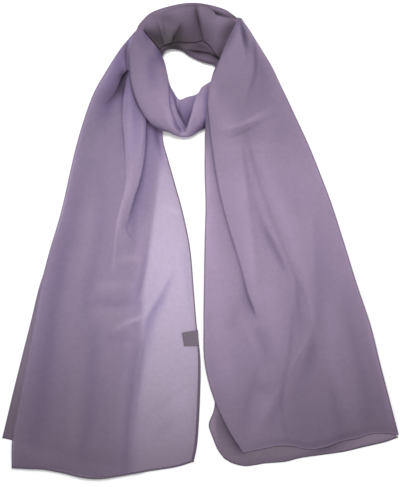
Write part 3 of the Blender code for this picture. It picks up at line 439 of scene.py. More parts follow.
RIGHT_CREASES = {
    "left_rim": [
        (15, 226.5, 8, 5, 0.1), (16.5, 209, 9, 6, 0.17), (16.5, 186, 10, 6, 0.1), (19, 157, 12, 8, 0.08),
        (31, 131, 10, 10, 0.03), (36.5, 107.5, 10, 10, 0),
    ],
    "left_glow": [
        (6, 151, 5, 8, 0, 0), (7.5, 119.5, 6, 8, 0.12, 0.3), (7.5, 87.5, 8, 8, 0.18, 0.4),
        (9, 51, 10, 8, 0.22, 0.4), (10.5, 15, 14, 8, 0.22, 0.4), (13.5, -23, 18, 12, 0.2, 0.4),
        (19, -65, 24, 16, 0.15, 0.4), (22, -115.5, 26, 20, 0.13, 0.3), (28, -181, 24, 20, 0.1, 0.3),
        (36.5, -231.5, 20, 20, 0, 0),
    ],
    "inner_glow": [
        (54, 136.5, 4, 14, 0, 0), (61.5, 102, 3.6, 18, 0.05, 0.3), (65, 58.5, 3.6, 20, 0.12, 0.6),
        (68.5, 26.5, 4, 16, 0.1, 0.6), (71.5, -2.5, 4.4, 13, 0.16, 0.8), (75, -31.5, 4.4, 11, 0.16, 0.8),
        (76.5, -60.5, 5, 9, 0.1, 0.6), (82.5, -86.5, 6, 6, 0.06, 0.4), (89, -115.5, 6, 6, 0, 0),
    ],
    "apex_valley": [
        (57.5, 321, 3, 2, -0.1, -1), (60, 309, 4, 2.4, -0.4, -3.2), (62.5, 296, 4.6, 3, -0.56, -4),
        (65, 284.5, 4.6, 3, -0.46, -3.6), (67, 276, 5, 3, -0.2, -2.4), (68.5, 261.5, 5, 3, -0.06, -1.4),
        (68.5, 244, 5, 3, 0, 0),
    ],
    "apex_side": [
        (76, 296, 2, 2, 0, 0), (78.5, 283, 2.6, 3, -0.24, -1.2), (80, 267, 3, 3.4, -0.28, -1.4),
        (80, 250, 3, 3.4, -0.28, -1.4), (78, 235.5, 4, 3.4, -0.22, -1), (73, 221, 6, 3, -0.14, -0.8),
        (69, 205, 7, 3, -0.08, -0.5), (65.5, 186, 8, 3, 0, 0),
    ],
    "right_side_shade": [
        (89, 276, 14, 16, -0.04), (90.5, 247, 14, 16, -0.12), (89, 218, 16, 18, -0.12),
        (94.5, 194.5, 16, 18, -0.06), (103.5, 168.5, 16, 16, 0),
    ],
    "right_rim": [
        (83, 276, 8, 6, 0), (97.5, 254, 8, 7, 0), (109, 235.5, 8, 9, 0.04), (120.5, 213.5, 8, 11, 0.06),
        (131, 193, 8, 12, 0.08), (141, 173, 8, 12, 0.09), (152.5, 148.5, 8, 10, 0.06),
        (164, 122, 8, 8, 0.05), (187.5, 70, 6, 6, 0.08), (206.5, 18, 6, 6, 0.12), (221, -31.5, 6, 6, 0.14),
        (235.5, -83.5, 6, 6, 0.16), (248.5, -136, 6, 6, 0.18), (263, -197, 6, 6, 0.18),
        (276, -252, 6, 6, 0.14), (283, -284, 6, 6, 0),
    ],
    "shoulder_ridge": [
        (22, 161.5, 4, 5, 0, 0), (31, 161.5, 4, 4, 0.04, 0.4), (45.5, 163.5, 4, 4, 0.06, 0.7),
        (60, 167, 3.6, 4, 0.12, 1), (71.5, 173.5, 3.4, 4, 0.16, 1), (86, 181.5, 3.4, 4, 0.14, 0.8),
        (97.5, 187.5, 3.4, 3.4, 0.08, 0.4), (106, 192, 3, 3, 0, 0),
    ],
    "shoulder_dark": [
        (31, 152.5, 4, 5, 0, 0), (42.5, 154, 4, 5, -0.04, -0.3), (52.5, 155, 4, 5, -0.05, -0.4),
        (65.5, 159, 4, 4.4, -0.03, -0.4), (77, 166.5, 3.6, 4, -0.02, -0.4), (91.5, 174.5, 3.6, 4, 0, -0.3),
        (103.5, 180, 3.6, 4, 0, -0.2), (115, 186, 3, 3, 0, 0),
    ],
    "vertical_fold": [
        (65, 158.5, 3, 3, 0, 0), (63.5, 142.5, 3.2, 3.2, -0.06, -0.5), (63.5, 119.5, 3.2, 3.2, -0.12, -0.9),
        (68, 90.5, 3.4, 3, -0.15, -0.9), (71.5, 62.5, 3.4, 3, -0.08, -0.6), (74.5, 36.5, 4, 3, -0.06, -0.5),
        (80, 0.5, 5, 3, -0.04, -0.3), (83, -31.5, 5, 3, 0, 0),
    ],
    "inner_diagonal": [
        (73, 87.5, 2.6, 6, 0, 0), (78, 58.5, 2.6, 7, -0.08, -0.5), (87.5, 29.5, 3, 7, -0.16, -0.8),
        (94.5, 15, 3.2, 8, -0.26, -1.1), (102.5, -1, 3.4, 8, -0.32, -1.4), (109, -14, 3.4, 7, -0.32, -1.4),
        (115.5, -28.5, 3.4, 6, -0.3, -1.2), (122, -43, 4, 6, -0.14, -0.6), (129.5, -59, 4, 6, 0, 0),
    ],
    "outer_diagonal": [
        (65.5, 158.5, 3, 3, 0, 0), (69, 139.5, 3.2, 3.2, -0.1, -0.7), (74.5, 116.5, 3.2, 3.2, -0.15, -0.9),
        (83.5, 87.5, 3, 3.4, -0.1, -0.8), (93, 58.5, 3, 3.4, -0.11, -0.8), (104, 29.5, 3, 3.4, -0.13, -0.9),
        (115.5, 0.5, 3, 3.4, -0.13, -0.9), (126.5, -28.5, 3, 3.4, -0.11, -0.8),
        (138, -56, 3, 3.4, -0.1, -0.7), (149.5, -83.5, 3, 3.4, -0.06, -0.5), (161.5, -110, 3, 3.4, 0, 0),
    ],
    "outer_glow": [
        (83, 131, 8, 5, 0, 0), (89, 109, 10, 5, 0.06, 0.4), (97, 87.5, 12, 5, 0.1, 0.6),
        (107.5, 58.5, 12, 6, 0.09, 0.6), (120.5, 29.5, 12, 7, 0.09, 0.7), (131.5, 0.5, 10, 7, 0.07, 0.6),
        (142.5, -28.5, 8, 7, 0.06, 0.5), (152.5, -57.5, 6, 5, 0.08, 0.6), (157, -86.5, 5, 4, 0.1, 0.6),
        (162, -112.5, 4, 3.6, 0.08, 0.4), (164, -127, 3, 3, 0, 0),
    ],
    "outer_shade": [
        (165.5, 61.5, 20, 3.4, 0, 0), (166.5, 29.5, 22, 3.4, -0.05, -0.3), (167, 0.5, 24, 3.4, -0.1, -0.6),
        (168, -28.5, 26, 3.4, -0.13, -0.7), (168.5, -57.5, 24, 4, -0.11, -0.6),
        (170, -86.5, 14, 4, -0.09, -0.5), (169.5, -112.5, 10, 4, -0.09, -0.5),
        (174.5, -141.5, 8, 5, -0.03, -0.2), (176, -162, 8, 5, 0, 0),
    ],
    "right_light": [
        (180, -72, 10, 8, 0, 0), (186, -94, 10, 9, 0.04, 0.3), (189, -118.5, 11, 10, 0.07, 0.4),
        (189, -147.5, 12, 10, 0.07, 0.4), (190.5, -173.5, 12, 11, 0.08, 0.4),
        (199, -202.5, 12, 10, 0.07, 0.4), (212, -231.5, 12, 10, 0.06, 0.3),
        (219.5, -260.5, 10, 9, 0.06, 0.3), (223.5, -284, 10, 9, 0, 0),
    ],
    "right_dark": [
        (205, -66.5, 10, 7, 0, 0), (210.5, -92.5, 12, 8, -0.05, -0.4), (215, -118.5, 12, 8, -0.1, -0.6),
        (221.5, -144.5, 14, 8, -0.15, -0.8), (226.5, -173.5, 14, 8, -0.12, -0.6),
        (234, -202.5, 14, 8, -0.11, -0.6), (239, -231.5, 12, 8, -0.1, -0.5),
        (242.5, -260.5, 12, 8, -0.07, -0.4), (247, -281, 12, 8, 0, 0),
    ],
    "lower_dip": [
        (189, -197, 5, 5, 0, 0), (192, -226, 5, 6, -0.08, -0.4), (197.5, -255, 6, 6, -0.08, -0.4),
        (203.5, -281, 7, 7, -0.06, -0.3), (207.5, -295.5, 7, 7, 0, 0),
    ],
    "wedge": [
        (138, -50.5, 3, 3, 0, 0), (139.5, -66.5, 4, 3, -0.14, -0.8), (140.5, -85, 5, 4, -0.21, -1.1),
        (141, -104, 7, 5, -0.16, -0.8), (142.5, -127, 9, 8, -0.08, -0.5), (142.5, -147.5, 9, 8, 0, 0),
    ],
    "wedge_left": [
        (134.5, -89.5, 4, 3, 0, 0), (132.5, -115.5, 4, 3, -0.09, -0.4), (131, -144.5, 4, 3.4, -0.13, -0.6),
        (126.5, -173.5, 4, 3.4, -0.1, -0.5), (121.5, -202.5, 4, 3.4, -0.12, -0.6),
        (116.5, -231.5, 4, 3.4, -0.18, -0.8), (118, -255, 4, 3.4, -0.09, -0.4),
        (121.5, -275, 4, 3.4, -0.07, -0.4), (128.5, -295.5, 4, 3.4, 0, 0),
    ],
    "patch": [
        (165, -121.5, 4, 3, 0, 0), (163.5, -137.5, 6, 3.6, -0.1, -0.7), (160.5, -153.5, 9, 5, -0.2, -1),
        (155.5, -173.5, 13, 6, -0.21, -1), (148.5, -192.5, 15, 6, -0.12, -0.6),
        (139.5, -211.5, 18, 6, -0.07, -0.4), (135, -234.5, 20, 8, -0.05, -0.3), (138, -268, 20, 8, 0, 0),
    ],
    "light_diagonal": [
        (160, -124.5, 3, 3, 0, 0), (154, -140.5, 3.4, 3.4, 0.06, 0.5), (145.5, -159, 3.4, 3.4, 0.09, 0.6),
        (135, -176.5, 3.4, 3.4, 0.08, 0.6), (126, -195.5, 3, 3, 0.04, 0.4), (119.5, -214, 3, 3, 0, 0),
    ],
    "pale_patch": [
        (110.5, -211.5, 3, 10, 0, 0), (105, -228.5, 5, 18, 0.14, 0.6), (97.5, -243, 6, 18, 0.15, 0.6),
        (89, -259, 7, 15, 0.11, 0.5), (80, -276.5, 8, 12, 0.07, 0.4), (74.5, -295.5, 8, 10, 0, 0),
    ],
    "below_patch": [
        (113.5, -226, 6, 5, 0, 0), (107.5, -246, 8, 6, -0.08, -0.4), (102, -262, 9, 6, -0.08, -0.4),
        (97.5, -281, 9, 6, 0, 0),
    ],
    "left_streak": [
        (81.5, -176.5, 6, 6, 0, 0), (77, -201, 7, 6, -0.09, -0.4), (70, -228.5, 6, 8, -0.11, -0.5),
        (64, -257.5, 6, 8, -0.07, -0.4), (61.5, -284, 6, 8, 0, 0),
    ],
    "centre_dark": [
        (77, -123, 8, 6, 0, 0), (84.5, -137.5, 12, 7, -0.12, -0.5), (90.5, -152, 12, 8, -0.13, -0.6),
        (94, -169.5, 9, 8, -0.09, -0.4), (96, -189.5, 8, 8, 0, 0),
    ],
    "centre_light": [
        (58.5, -110, 5, 4, 0, 0), (67, -130, 5, 4, 0.06, 0.3), (77, -150.5, 5, 4, 0.07, 0.3),
        (86, -166.5, 5, 4, 0.04, 0.2), (91.5, -179.5, 5, 4, 0, 0),
    ],
    "low_dip": [
        (57, -86.5, 7, 9, 0, 0), (50.5, -102.5, 7, 9, -0.08, -0.3), (45.5, -117, 8, 9, -0.11, -0.4),
        (43, -134.5, 8, 9, 0, 0),
    ],
    "line_shade": [
        (45.5, -23, 3, 5, 0, 0), (54, -46, 4, 6, -0.02, -0.4), (61.5, -66.5, 4, 9, -0.08, -0.8),
        (67, -82.5, 4, 12, -0.13, -1), (73.5, -97, 4, 11, -0.12, -0.9), (80, -111.5, 4, 8, -0.06, -0.4),
        (83, -121.5, 4, 8, 0, 0),
    ],
    "hem_shade": [
        (65.5, -301, 3, 7, 0), (89, -295.5, 4, 6, -0.06), (112, -291, 4, 5, -0.08),
        (132.5, -291, 4, 5, -0.08), (155.5, -297, 4, 5, -0.08), (181.5, -292.5, 5, 4, -0.12),
        (205, -285.5, 6, 4, -0.16), (225, -279.5, 6, 4, -0.1), (248.5, -273.5, 5, 4, 0),
    ],
    "left_gap": [
        (7.5, 177.5, 3, 3, -0.08), (6, 165.5, 3, 3, -0.38), (6, 142.5, 3, 3, -0.3), (6, 125, 3, 3, -0.15),
        (6, 107.5, 3, 3, 0),
    ],
    "neck_side": [
        (54, 319.5, 5, 4, -0.42), (48, 308, 7, 5, -0.42), (42.5, 296, 7, 5, -0.42),
        (36.5, 283, 7, 5, -0.32), (31, 270, 6, 5, -0.14), (25, 258.5, 5, 5, 0),
    ],
    "shoulder_light": [
        (33.5, 215, 10, 12, 0), (35, 194.5, 14, 14, 0.14), (36.5, 176, 16, 16, 0.29),
        (39.5, 155.5, 16, 20, 0.24), (48, 141, 16, 24, 0.15), (57, 122, 16, 24, 0.06),
        (65.5, 102, 12, 12, 0),
    ],
    "middle_light": [
        (94.5, -43, 12, 14, 0), (100.5, -75, 14, 16, 0.08), (106, -112.5, 14, 14, 0.08),
        (115, -152, 14, 10, 0.07), (123.5, -185, 8, 8, 0),
    ],
    "right_shoulder_light": [
        (97.5, 200.5, 8, 10, 0), (99, 183, 12, 16, 0.07), (94.5, 163, 16, 22, 0.12),
        (89, 142.5, 16, 22, 0.11), (89, 122, 16, 22, 0.05), (89, 105, 14, 18, 0),
    ],
    "apex_right": [
        (57, 318, 4, 4, -0.24), (64, 303.5, 6, 6, -0.26), (71.5, 286, 7, 7, -0.18),
        (83, 261.5, 7, 8, -0.15), (93, 238, 6, 8, -0.09), (103.5, 215, 6, 8, 0),
    ],
    "lower_patch": [
        (71.5, -197, 8, 8, 0), (83, -208.5, 8, 10, -0.06), (94.5, -218.5, 9, 9, -0.1),
        (109, -226, 8, 8, -0.06), (120.5, -231.5, 6, 6, 0),
    ],
    "broad_shade": [
        (51, 90.5, 14, 14, 0), (89, 87.5, 18, 18, -0.05), (126.5, 78.5, 20, 20, -0.06),
        (141, 55.5, 20, 20, -0.05), (149.5, 20.5, 14, 14, 0),
    ],
    "broad_light": [
        (216.5, -104, 20, 20, 0), (219.5, -141.5, 24, 24, 0.05), (216.5, -188, 26, 26, 0.06),
        (219.5, -234.5, 26, 26, 0.04), (222, -272, 20, 20, 0),
    ],
    "left_light": [
        (33.5, -147.5, 10, 10, 0), (39.5, -179.5, 12, 12, 0.06), (44, -220, 12, 12, 0.05),
        (48, -260.5, 10, 10, 0),
    ],
    "crease_light": [
        (31, 160, 2.5, 2.5, 0), (49.5, 165, 2.6, 2.6, 0.07), (64, 169.5, 2.6, 2.6, 0.06),
        (78.5, 175, 2.8, 2.8, 0.13), (93, 180.5, 2.8, 2.8, 0.1), (107.5, 186, 2.6, 2.6, 0.04),
        (120.5, 190.5, 2, 2, 0),
    ],
}
RIGHT_UNDER_CREASES = {
    "pocket": [
        (22, -234.5, 4, 8, -0.04), (29.5, -247.5, 4, 10, -0.2), (36.5, -260.5, 5, 12, -0.44),
        (45.5, -275, 6, 12, -0.58), (57, -298.5, 6, 10, -0.54), (64, -310, 6, 9, -0.14),
        (70, -321.5, 6, 6, 0),
    ],
    "below_hem": [
        (152.5, -308.5, 4, 8, 0), (170, -304, 4, 8, -0.22), (187.5, -298.5, 4, 7, -0.28),
        (207.5, -291, 4, 5, -0.2), (228, -286.5, 3, 4, 0),
    ],
    "strip_glow": [
        (207.5, -298.5, 4, 6, 0), (228, -294, 5, 6, 0.14), (248.5, -286.5, 5, 6, 0.22),
        (271.5, -284, 4, 5, 0.18), (283, -284, 4, 4, 0),
    ],
    "pocket_left": [
        (20.5, -234.5, 3, 5, 0.2), (18, -247.5, 5, 6, 0.44), (16.5, -266.5, 5, 7, 0.46),
        (20.5, -285.5, 4, 6, 0.26), (28, -301, 3, 5, 0.05), (36.5, -311.5, 3, 3, 0),
    ],
    "bottom_band": [
        (39.5, -317, 3, 5, 0), (57, -323, 3, 5, -0.1), (89, -318.5, 3, 5, -0.13),
        (120.5, -317, 3, 5, -0.14), (152.5, -310, 3, 5, -0.16), (187.5, -302.5, 3, 4, -0.1),
        (216.5, -295.5, 3, 4, 0),
    ],
}
LOOP_CREASES = {
    "collar_hollow": [
        (-76.5, 284.5, 8, 8, 0, 0), (-73.5, 270, 9, 7, -0.06, -0.4), (-72, 255.5, 9, 8, -0.24, -0.6),
        (-70.5, 238, 9, 8, -0.24, -0.5), (-68, 226.5, 9, 8, -0.14, -0.2), (-65, 212, 9, 7, 0, 0),
    ],
    "collar_dark_patch": [
        (-73.5, 273, 5, 5, 0, 0), (-69, 264.5, 6, 6, -0.14, -0.3), (-63.5, 257, 6, 6, -0.14, -0.3),
        (-56, 245.5, 5, 5, 0, 0),
    ],
    "inner_rim_light": [
        (-54.5, 206.5, 4, 4, 0, 0), (-51, 192, 5, 4, 0.08, 0.3), (-48, 180, 5, 4, 0.18, 0.4),
        (-44, 170, 5, 4, 0.26, 0.3), (-37.5, 160.5, 4, 4, 0.2, 0.2), (-30, 153.5, 3, 3, 0.16, 0),
        (-21.5, 153.5, 3, 3, 0.12, 0), (-15.5, 155.5, 3, 3, 0, 0),
    ],
    "panel_top": [
        (-20.5, 209, 8, 8, 0.08, -0.6), (-21.5, 197.5, 8, 8, 0, -0.9), (-22, 186, 8, 8, -0.12, -1.2),
        (-22.5, 174.5, 6, 6, -0.28, -1.2), (-22.5, 164, 4, 4, -0.26, -0.8), (-21.5, 157, 3, 3, 0, 0),
    ],
    "panel_side": [
        (-35, 210.5, 4, 3, 0), (-34.5, 199, 3, 3, -0.16), (-32, 187.5, 3, 3, -0.2), (-27, 174.5, 3, 3, 0),
    ],
    "beside_right_end": [
        (10.5, 226.5, 4, 3, -0.1), (10, 215, 6, 4, -0.36), (9, 203.5, 7, 5, -0.44), (9, 189, 5, 6, -0.36),
        (9, 178.5, 4, 5, -0.46), (8.5, 170, 4, 6, -0.86), (7, 154, 4, 6, -0.9),
    ],
    "bottom_shade": [
        (-85, 187.5, 4, 4, -0.02), (-75, 173.5, 7, 5, -0.1), (-63.5, 163.5, 6, 4, -0.24),
        (-56, 159, 4, 4, -0.48), (-47.5, 155, 3.2, 4, -0.62), (-39, 151.5, 2.8, 4, -0.46),
        (-30, 150, 2.4, 3, -0.16), (-21.5, 149.5, 2.5, 2.5, -0.06), (-11, 154, 4, 4, -0.3),
        (-2.5, 160, 6, 6, -0.52), (6, 164, 7, 7, -0.5),
    ],
    "collar_top": [
        (-79.5, 303.5, 5, 7, -0.28), (-78, 293.5, 6, 7, -0.28), (-78, 281.5, 9, 7, -0.12),
        (-72, 271.5, 8, 7, 0), (-68, 261.5, 6, 6, 0),
    ],
    "collar_inner_shade": [
        (-68, 283, 4, 6, -0.06), (-62, 276, 6, 6, -0.46), (-58.5, 268.5, 6, 7, -0.54),
        (-56, 260, 5, 7, -0.34), (-54, 248.5, 4, 4, 0),
    ],
    "right_piece_rim": [
        (-4, 206.5, 2.5, 3, 0), (-6, 197.5, 2.5, 3.4, 0.05), (-10.5, 187.5, 2.5, 3.4, 0.14),
        (-14, 178.5, 2.5, 3.4, 0.22), (-16.5, 170, 2.5, 3, 0.24), (-18.5, 161.5, 2.5, 3, 0.18),
        (-20, 154, 2.5, 2.5, 0),
    ],
    "strip_light": [
        (-45, 209, 2, 2, 0), (-41.5, 193, 2, 2, 0.16), (-37.5, 181.5, 2, 2, 0.18), (-33, 171.5, 2, 2, 0.08),
        (-28, 163.5, 1.8, 1.8, 0.16), (-24.5, 160, 1.6, 1.6, 0),
    ],
    "strip_foot": [
        (-37, 199, 1.6, 1.6, 0), (-33.5, 189.5, 1.6, 1.8, -0.3), (-30, 181.5, 1.6, 2, -0.38),
        (-26, 173, 1.6, 1.6, -0.26), (-23, 165.5, 1.4, 1.4, 0),
    ],
    "curl": [
        (-33.5, 207.5, 1.4, 1.4, 0.2), (-33.5, 202, 1.5, 1.5, 0.6), (-33.5, 193, 1.5, 1.5, 0.66),
        (-32, 187.5, 1.2, 1.2, 0),
    ],
    "collar_foot": [
        (-42.5, 177.5, 1.6, 1.6, 0), (-38, 167.5, 1.8, 1.8, -0.42), (-33, 160.5, 1.8, 1.8, -0.42),
        (-28.5, 155.5, 1.4, 1.4, 0),
    ],
    "centre_side": [
        (-11, 192, 1.8, 1.8, 0), (-14.5, 183, 1.8, 1.6, -0.36), (-17.5, 175, 1.8, 1.4, -0.44),
        (-19.5, 168, 1.6, 1.2, -0.2), (-21, 163, 1.4, 1.2, 0),
    ],
    "fine_pleat": [
        (-25, 203.5, 0.9, 0.9, 0), (-24.5, 192, 0.9, 0.9, -0.09), (-23, 177.5, 0.9, 0.9, -0.09),
        (-22, 168.5, 0.9, 0.9, 0),
    ],
    "second_fine_pleat": [
        (-17.5, 206.5, 0.9, 0.9, 0), (-18.5, 194.5, 0.9, 0.9, -0.09), (-20, 180, 0.9, 0.9, -0.09),
        (-21.5, 171.5, 0.9, 0.9, 0),
    ],
    "meeting_light": [
        (-29, 158.5, 1.8, 1.8, 0), (-25, 155, 1.8, 1.8, 0.14), (-20, 156.5, 1.8, 1.8, 0.14),
        (-16.5, 163, 1.8, 1.8, 0.08), (-14.5, 168.5, 1.6, 1.6, 0),
    ],
    "collar_outer_shade": [
        (-89.5, 305, 5, 5, 0), (-88.5, 294.5, 5, 5, -0.16), (-87, 284.5, 5, 5, -0.1), (-85, 273, 5, 5, 0),
    ],
    "left_rim": [
        (-104, 279, 1.6, 1.6, 0), (-104.5, 264.5, 1.8, 1.8, -0.24), (-104, 250, 1.8, 1.8, -0.4),
        (-103, 236.5, 1.6, 1.6, -0.2), (-101, 223.5, 1.4, 1.4, 0),
    ],
}
NECK_OVER_CREASES = {
    "near_right_end": [
        (54, 321, 4, 4, -0.2, -1), (49, 312, 3.4, 7, -0.48, -1.6), (44, 303.5, 3.4, 9, -0.52, -2),
        (38, 293.5, 3.4, 9, -0.46, -1.4), (33, 281.5, 3, 6, -0.28, -0.6), (27.5, 270, 4, 4, -0.42, 0),
    ],
    "beside_collar": [
        (-88, 306.5, 5, 5, -0.06, 0), (-79.5, 300.5, 6, 6, -0.46, -1), (-69, 293.5, 8, 8, -0.42, -1.2),
        (-59, 281.5, 8, 8, -0.12, -1), (-54.5, 274.5, 8, 8, -0.06, 0),
    ],
    "inner_edge": [
        (-59, 277.5, 4, 4, 0.06), (-47.5, 287.5, 4, 4, -0.06), (-30, 290.5, 3, 4, -0.16),
        (-11, 289, 3, 3, -0.04), (3.5, 290.5, 3, 3, -0.02), (18, 276, 3, 3, -0.02),
    ],
    "right_swell": [
        (19, 319.5, 6, 6, 0, 0), (19, 305, 8, 9, 0, 1.2), (16.5, 290.5, 9, 9, 0.24, 1),
        (18, 276, 6, 6, 0.12, 0),
    ],
    "left_swell": [
        (-76.5, 322.5, 6, 6, 0, 0.8), (-63.5, 325, 8, 8, -0.22, 1.2), (-49, 323.5, 10, 8, -0.28, 1.2),
        (-36, 316.5, 8, 8, -0.14, 0.6), (-25.5, 308, 6, 6, 0, 0),
    ],
    "middle_shade": [
        (-5.5, 341, 2.8, 3, -0.24), (-5, 331, 3.2, 4.6, -0.42), (-2.5, 319.5, 3.6, 5, -0.4),
        (1, 308, 3, 4, -0.22), (3.5, 296, 3, 3, 0),
    ],
    "slanting_shade": [
        (-31.5, 321, 4, 4, 0), (-30, 310.5, 5, 4, -0.16), (-31.5, 300.5, 6, 4, -0.26),
        (-33, 290.5, 6, 4, -0.16), (-33, 283, 4, 4, 0),
    ],
    "pocket_side": [
        (-54.5, 322.5, 4, 4, -0.06), (-54.5, 310.5, 4, 4, -0.22), (-53.5, 302, 4, 4, -0.3),
        (-52, 292, 4, 4, -0.1), (-50.5, 284.5, 4, 4, 0),
    ],
    "slant_foot": [
        (-36, 308, 2, 2.4, 0), (-38, 299, 2.4, 2.8, -0.32), (-39.5, 292, 2.6, 2.8, -0.46),
        (-41, 286, 2, 2, 0),
    ],
    "right_end_soft": [
        (42.5, 319.5, 5, 6, -0.1), (38, 309, 5, 7, -0.22), (32.5, 299, 5, 6, -0.1), (25, 287.5, 5, 5, 0),
    ],
}

NECK_UNDER_CREASES = {
    "below_rim": [
        (9, 339, 2.5, 2.5, -0.2), (15, 334, 2.6, 2.4, -0.56), (20.5, 330, 3.6, 3, -0.84),
        (28, 327.5, 3.4, 3.2, -0.74), (38, 325, 3, 3, -0.5), (51, 322.5, 2.5, 2.5, -0.4),
    ],
    "inner_rim": [
        (-59, 274.5, 6, 5, -0.4), (-50.5, 280, 4, 3, 0.1), (-41.5, 281.5, 2.8, 3, -0.44),
        (-33, 281.5, 2.8, 3, -0.52), (-24.5, 278, 3, 3, -0.14), (-15.5, 268.5, 4, 4, 0),
        (-7, 261.5, 4, 4, 0),
    ],
    "outer_band": [
        (-27, 284.5, 6, 6, -0.05), (-12.5, 281.5, 7, 7, -0.26), (-2.5, 281, 7, 6, -0.5),
        (7.5, 277.5, 6, 4, -0.44), (16.5, 273, 4, 4, -0.3), (25, 267, 4, 4, -0.3),
    ],
    "lower_band": [
        (-21.5, 270, 2, 2, 0), (-11, 266.5, 3, 3, 0.26), (0.5, 263.5, 3.4, 3, 0.32),
        (12, 260, 3.4, 3, 0.32), (22, 255.5, 2, 2, 0.1),
    ],
    "corner_dark": [
        (10.5, 276, 3, 3, 0), (18, 272, 3, 3, -0.2), (23.5, 268.5, 3.4, 3.4, -0.56),
        (29.5, 265.5, 3.4, 3.4, -0.56),
    ],
}

# Rows and columns of each sheet's mesh.
GRID = {
    "left_tail": (300, 190),
    "left_tail_second": (150, 90),
    "left_tail_under": (150, 90),
    "right_tail": (300, 190),
    "right_tail_under": (150, 100),
    "front_loop": (300, 96),
    "neck_over": (220, 84),
    "neck_under": (220, 70),
    "label": (16, 18),
}

# The label's corners: upper left, upper right, lower right, lower left.
LABEL_CORNERS = ((-27, -134), (-4, -130), (-2.5, -152), (-24, -153))
LABEL_LIFT = 1.4        # the label's top above the cloth that it is sewn to
LABEL_THICKNESS = 0.8

# Each cloth's colour by reflected light, and by light that comes through it.
SHEER_MAUVE = (0.500, 0.396, 0.546)
SHEER_THROUGH = (0.690, 0.626, 0.760)
DOUBLE_MAUVE = (0.431, 0.328, 0.485)
LINING_MAUVE = (0.424, 0.328, 0.440)
DOUBLE_THROUGH = (0.292, 0.224, 0.316)
GATHERED_MAUVE = (0.289, 0.221, 0.333)
# The neck's mauve is darker, for its many layers and for painted shade behind the neck.
NECK_MAUVE = (0.182, 0.136, 0.203)
HEM_MAUVE = (0.190, 0.145, 0.215)
EDGE_MAUVE = (0.260, 0.200, 0.300)
SHEEN_TINT = (0.80, 0.66, 0.95)
LABEL_GREY = (0.160, 0.130, 0.165)
FLOOR_WHITE = (0.97, 0.97, 0.97)

# How each colour turns where shade is painted: bluer in the hollows, where light has come through
# the cloth, and drab behind the neck.
HOLLOW_TURN = (1.03, 1.0, 1.24)
DOUBLE_TURN = (1.0, 1.0, 1.12)
NECK_TURN = (0.89, 1.0, 0.74)
HOLLOW_GAIN = 2.0       # how fast the colour turns as a fold's tone falls

# The neck's colour turns drab in the painted shade at its inner edge, and only a little in its folds.
DRAB_PLACE = (-42, 288)
DRAB_REACH = (28, 15)
DRAB_DEPTH = 0.5
DRAB_IN_FOLDS = 0.06

# The stage is in metres.
FLOOR_HALF = 6.0
WORLD_LIGHT = 0.68
KEY_PLACE = (0.0, 1.5, 1.6)
KEY_SIZE = 0.8
KEY_POWER = 34.6
CAMERA_HEIGHT = 12.0
VIEW_HEIGHT = 0.70615   # what the camera's frame covers on the floor, from top to bottom
VIEW_CENTRE = (-0.0011, -0.0047)
FAR_CLIP = 100.0
SENSOR = 36.0           # in millimetres


# ---- numbers from tables -----------------------------------------------------------------------------

def columns(names, table):
    """The table's columns by name."""
    return dict(zip(names, np.array(table, float).T))


def smooth_curve(table):
    """Many rows on a smooth curve through the table's rows."""
    rows = np.array(table, float)
    padded = np.vstack([2 * rows[0] - rows[1], rows, 2 * rows[-1] - rows[-2]])
    fine = []
    for i in range(len(rows) - 1):
        before, start, end, after = padded[i:i + 4]
        for t in np.linspace(0, 1, TABLE_STEPS, endpoint=False):
            fine.append(0.5 * (2 * start + (end - before) * t
                               + (2 * before - 5 * start + 4 * end - after) * t ** 2
                               + (3 * start - before - 3 * end + after) * t ** 3))
    fine.append(rows[-1])
    return np.array(fine)


def spread(fine, line, count):
    """The rows of fine, moved to count places evenly along the line."""
    run = np.concatenate([[0], np.cumsum(np.linalg.norm(np.diff(line, axis=0), axis=1))])
    places = np.linspace(0, run[-1], count)
    return np.stack([np.interp(places, run, column) for column in fine.T], axis=1)


def smooth_rows(table, count):
    """Rows on a smooth curve through the table's rows, evenly spaced along the middle of the stretch."""
    fine = smooth_curve(table)
    return spread(fine, (fine[:, 0:2] + fine[:, 2:4]) / 2, count)


def smooth_line(table):
    """Points at LINE_STEP along a smooth curve through a fold's rows."""
    fine = smooth_curve(table)
    length = np.linalg.norm(np.diff(fine[:, 0:2], axis=0), axis=1).sum()
    return spread(fine, fine[:, 0:2], int(length / LINE_STEP) + 2)


def smoothstep(value, start, end):
    share = np.clip((value - start) / (end - start), 0, 1)
    return share * share * (3 - 2 * share)


def even(count):
    return np.linspace(0, 1, count)[None, :]


def crowded_at_edges(count):
    return (1 - np.cos(math.pi * even(count))) / 2


# ---- folds -------------------------------------------------------------------------------------------

def beside(x, y, names, table, farthest):
    """The places near a line, the line's columns there, and the distance to it, positive on its left."""
    line = smooth_line(table)
    near = ((x > line[:, 0].min() - farthest) & (x < line[:, 0].max() + farthest)
            & (y > line[:, 1].min() - farthest) & (y < line[:, 1].max() + farthest))
    px, py = x[near], y[near]
    nearest = np.argmin((px[:, None] - line[:, 0]) ** 2 + (py[:, None] - line[:, 1]) ** 2, axis=1)
    heading = np.gradient(line[:, 0:2], axis=0)[nearest]
    away = np.stack([px, py], axis=1) - line[nearest, 0:2]
    side = np.sign(heading[:, 0] * away[:, 1] - heading[:, 1] * away[:, 0])
    return near, columns(names, line[nearest]), side * np.hypot(away[:, 0], away[:, 1])


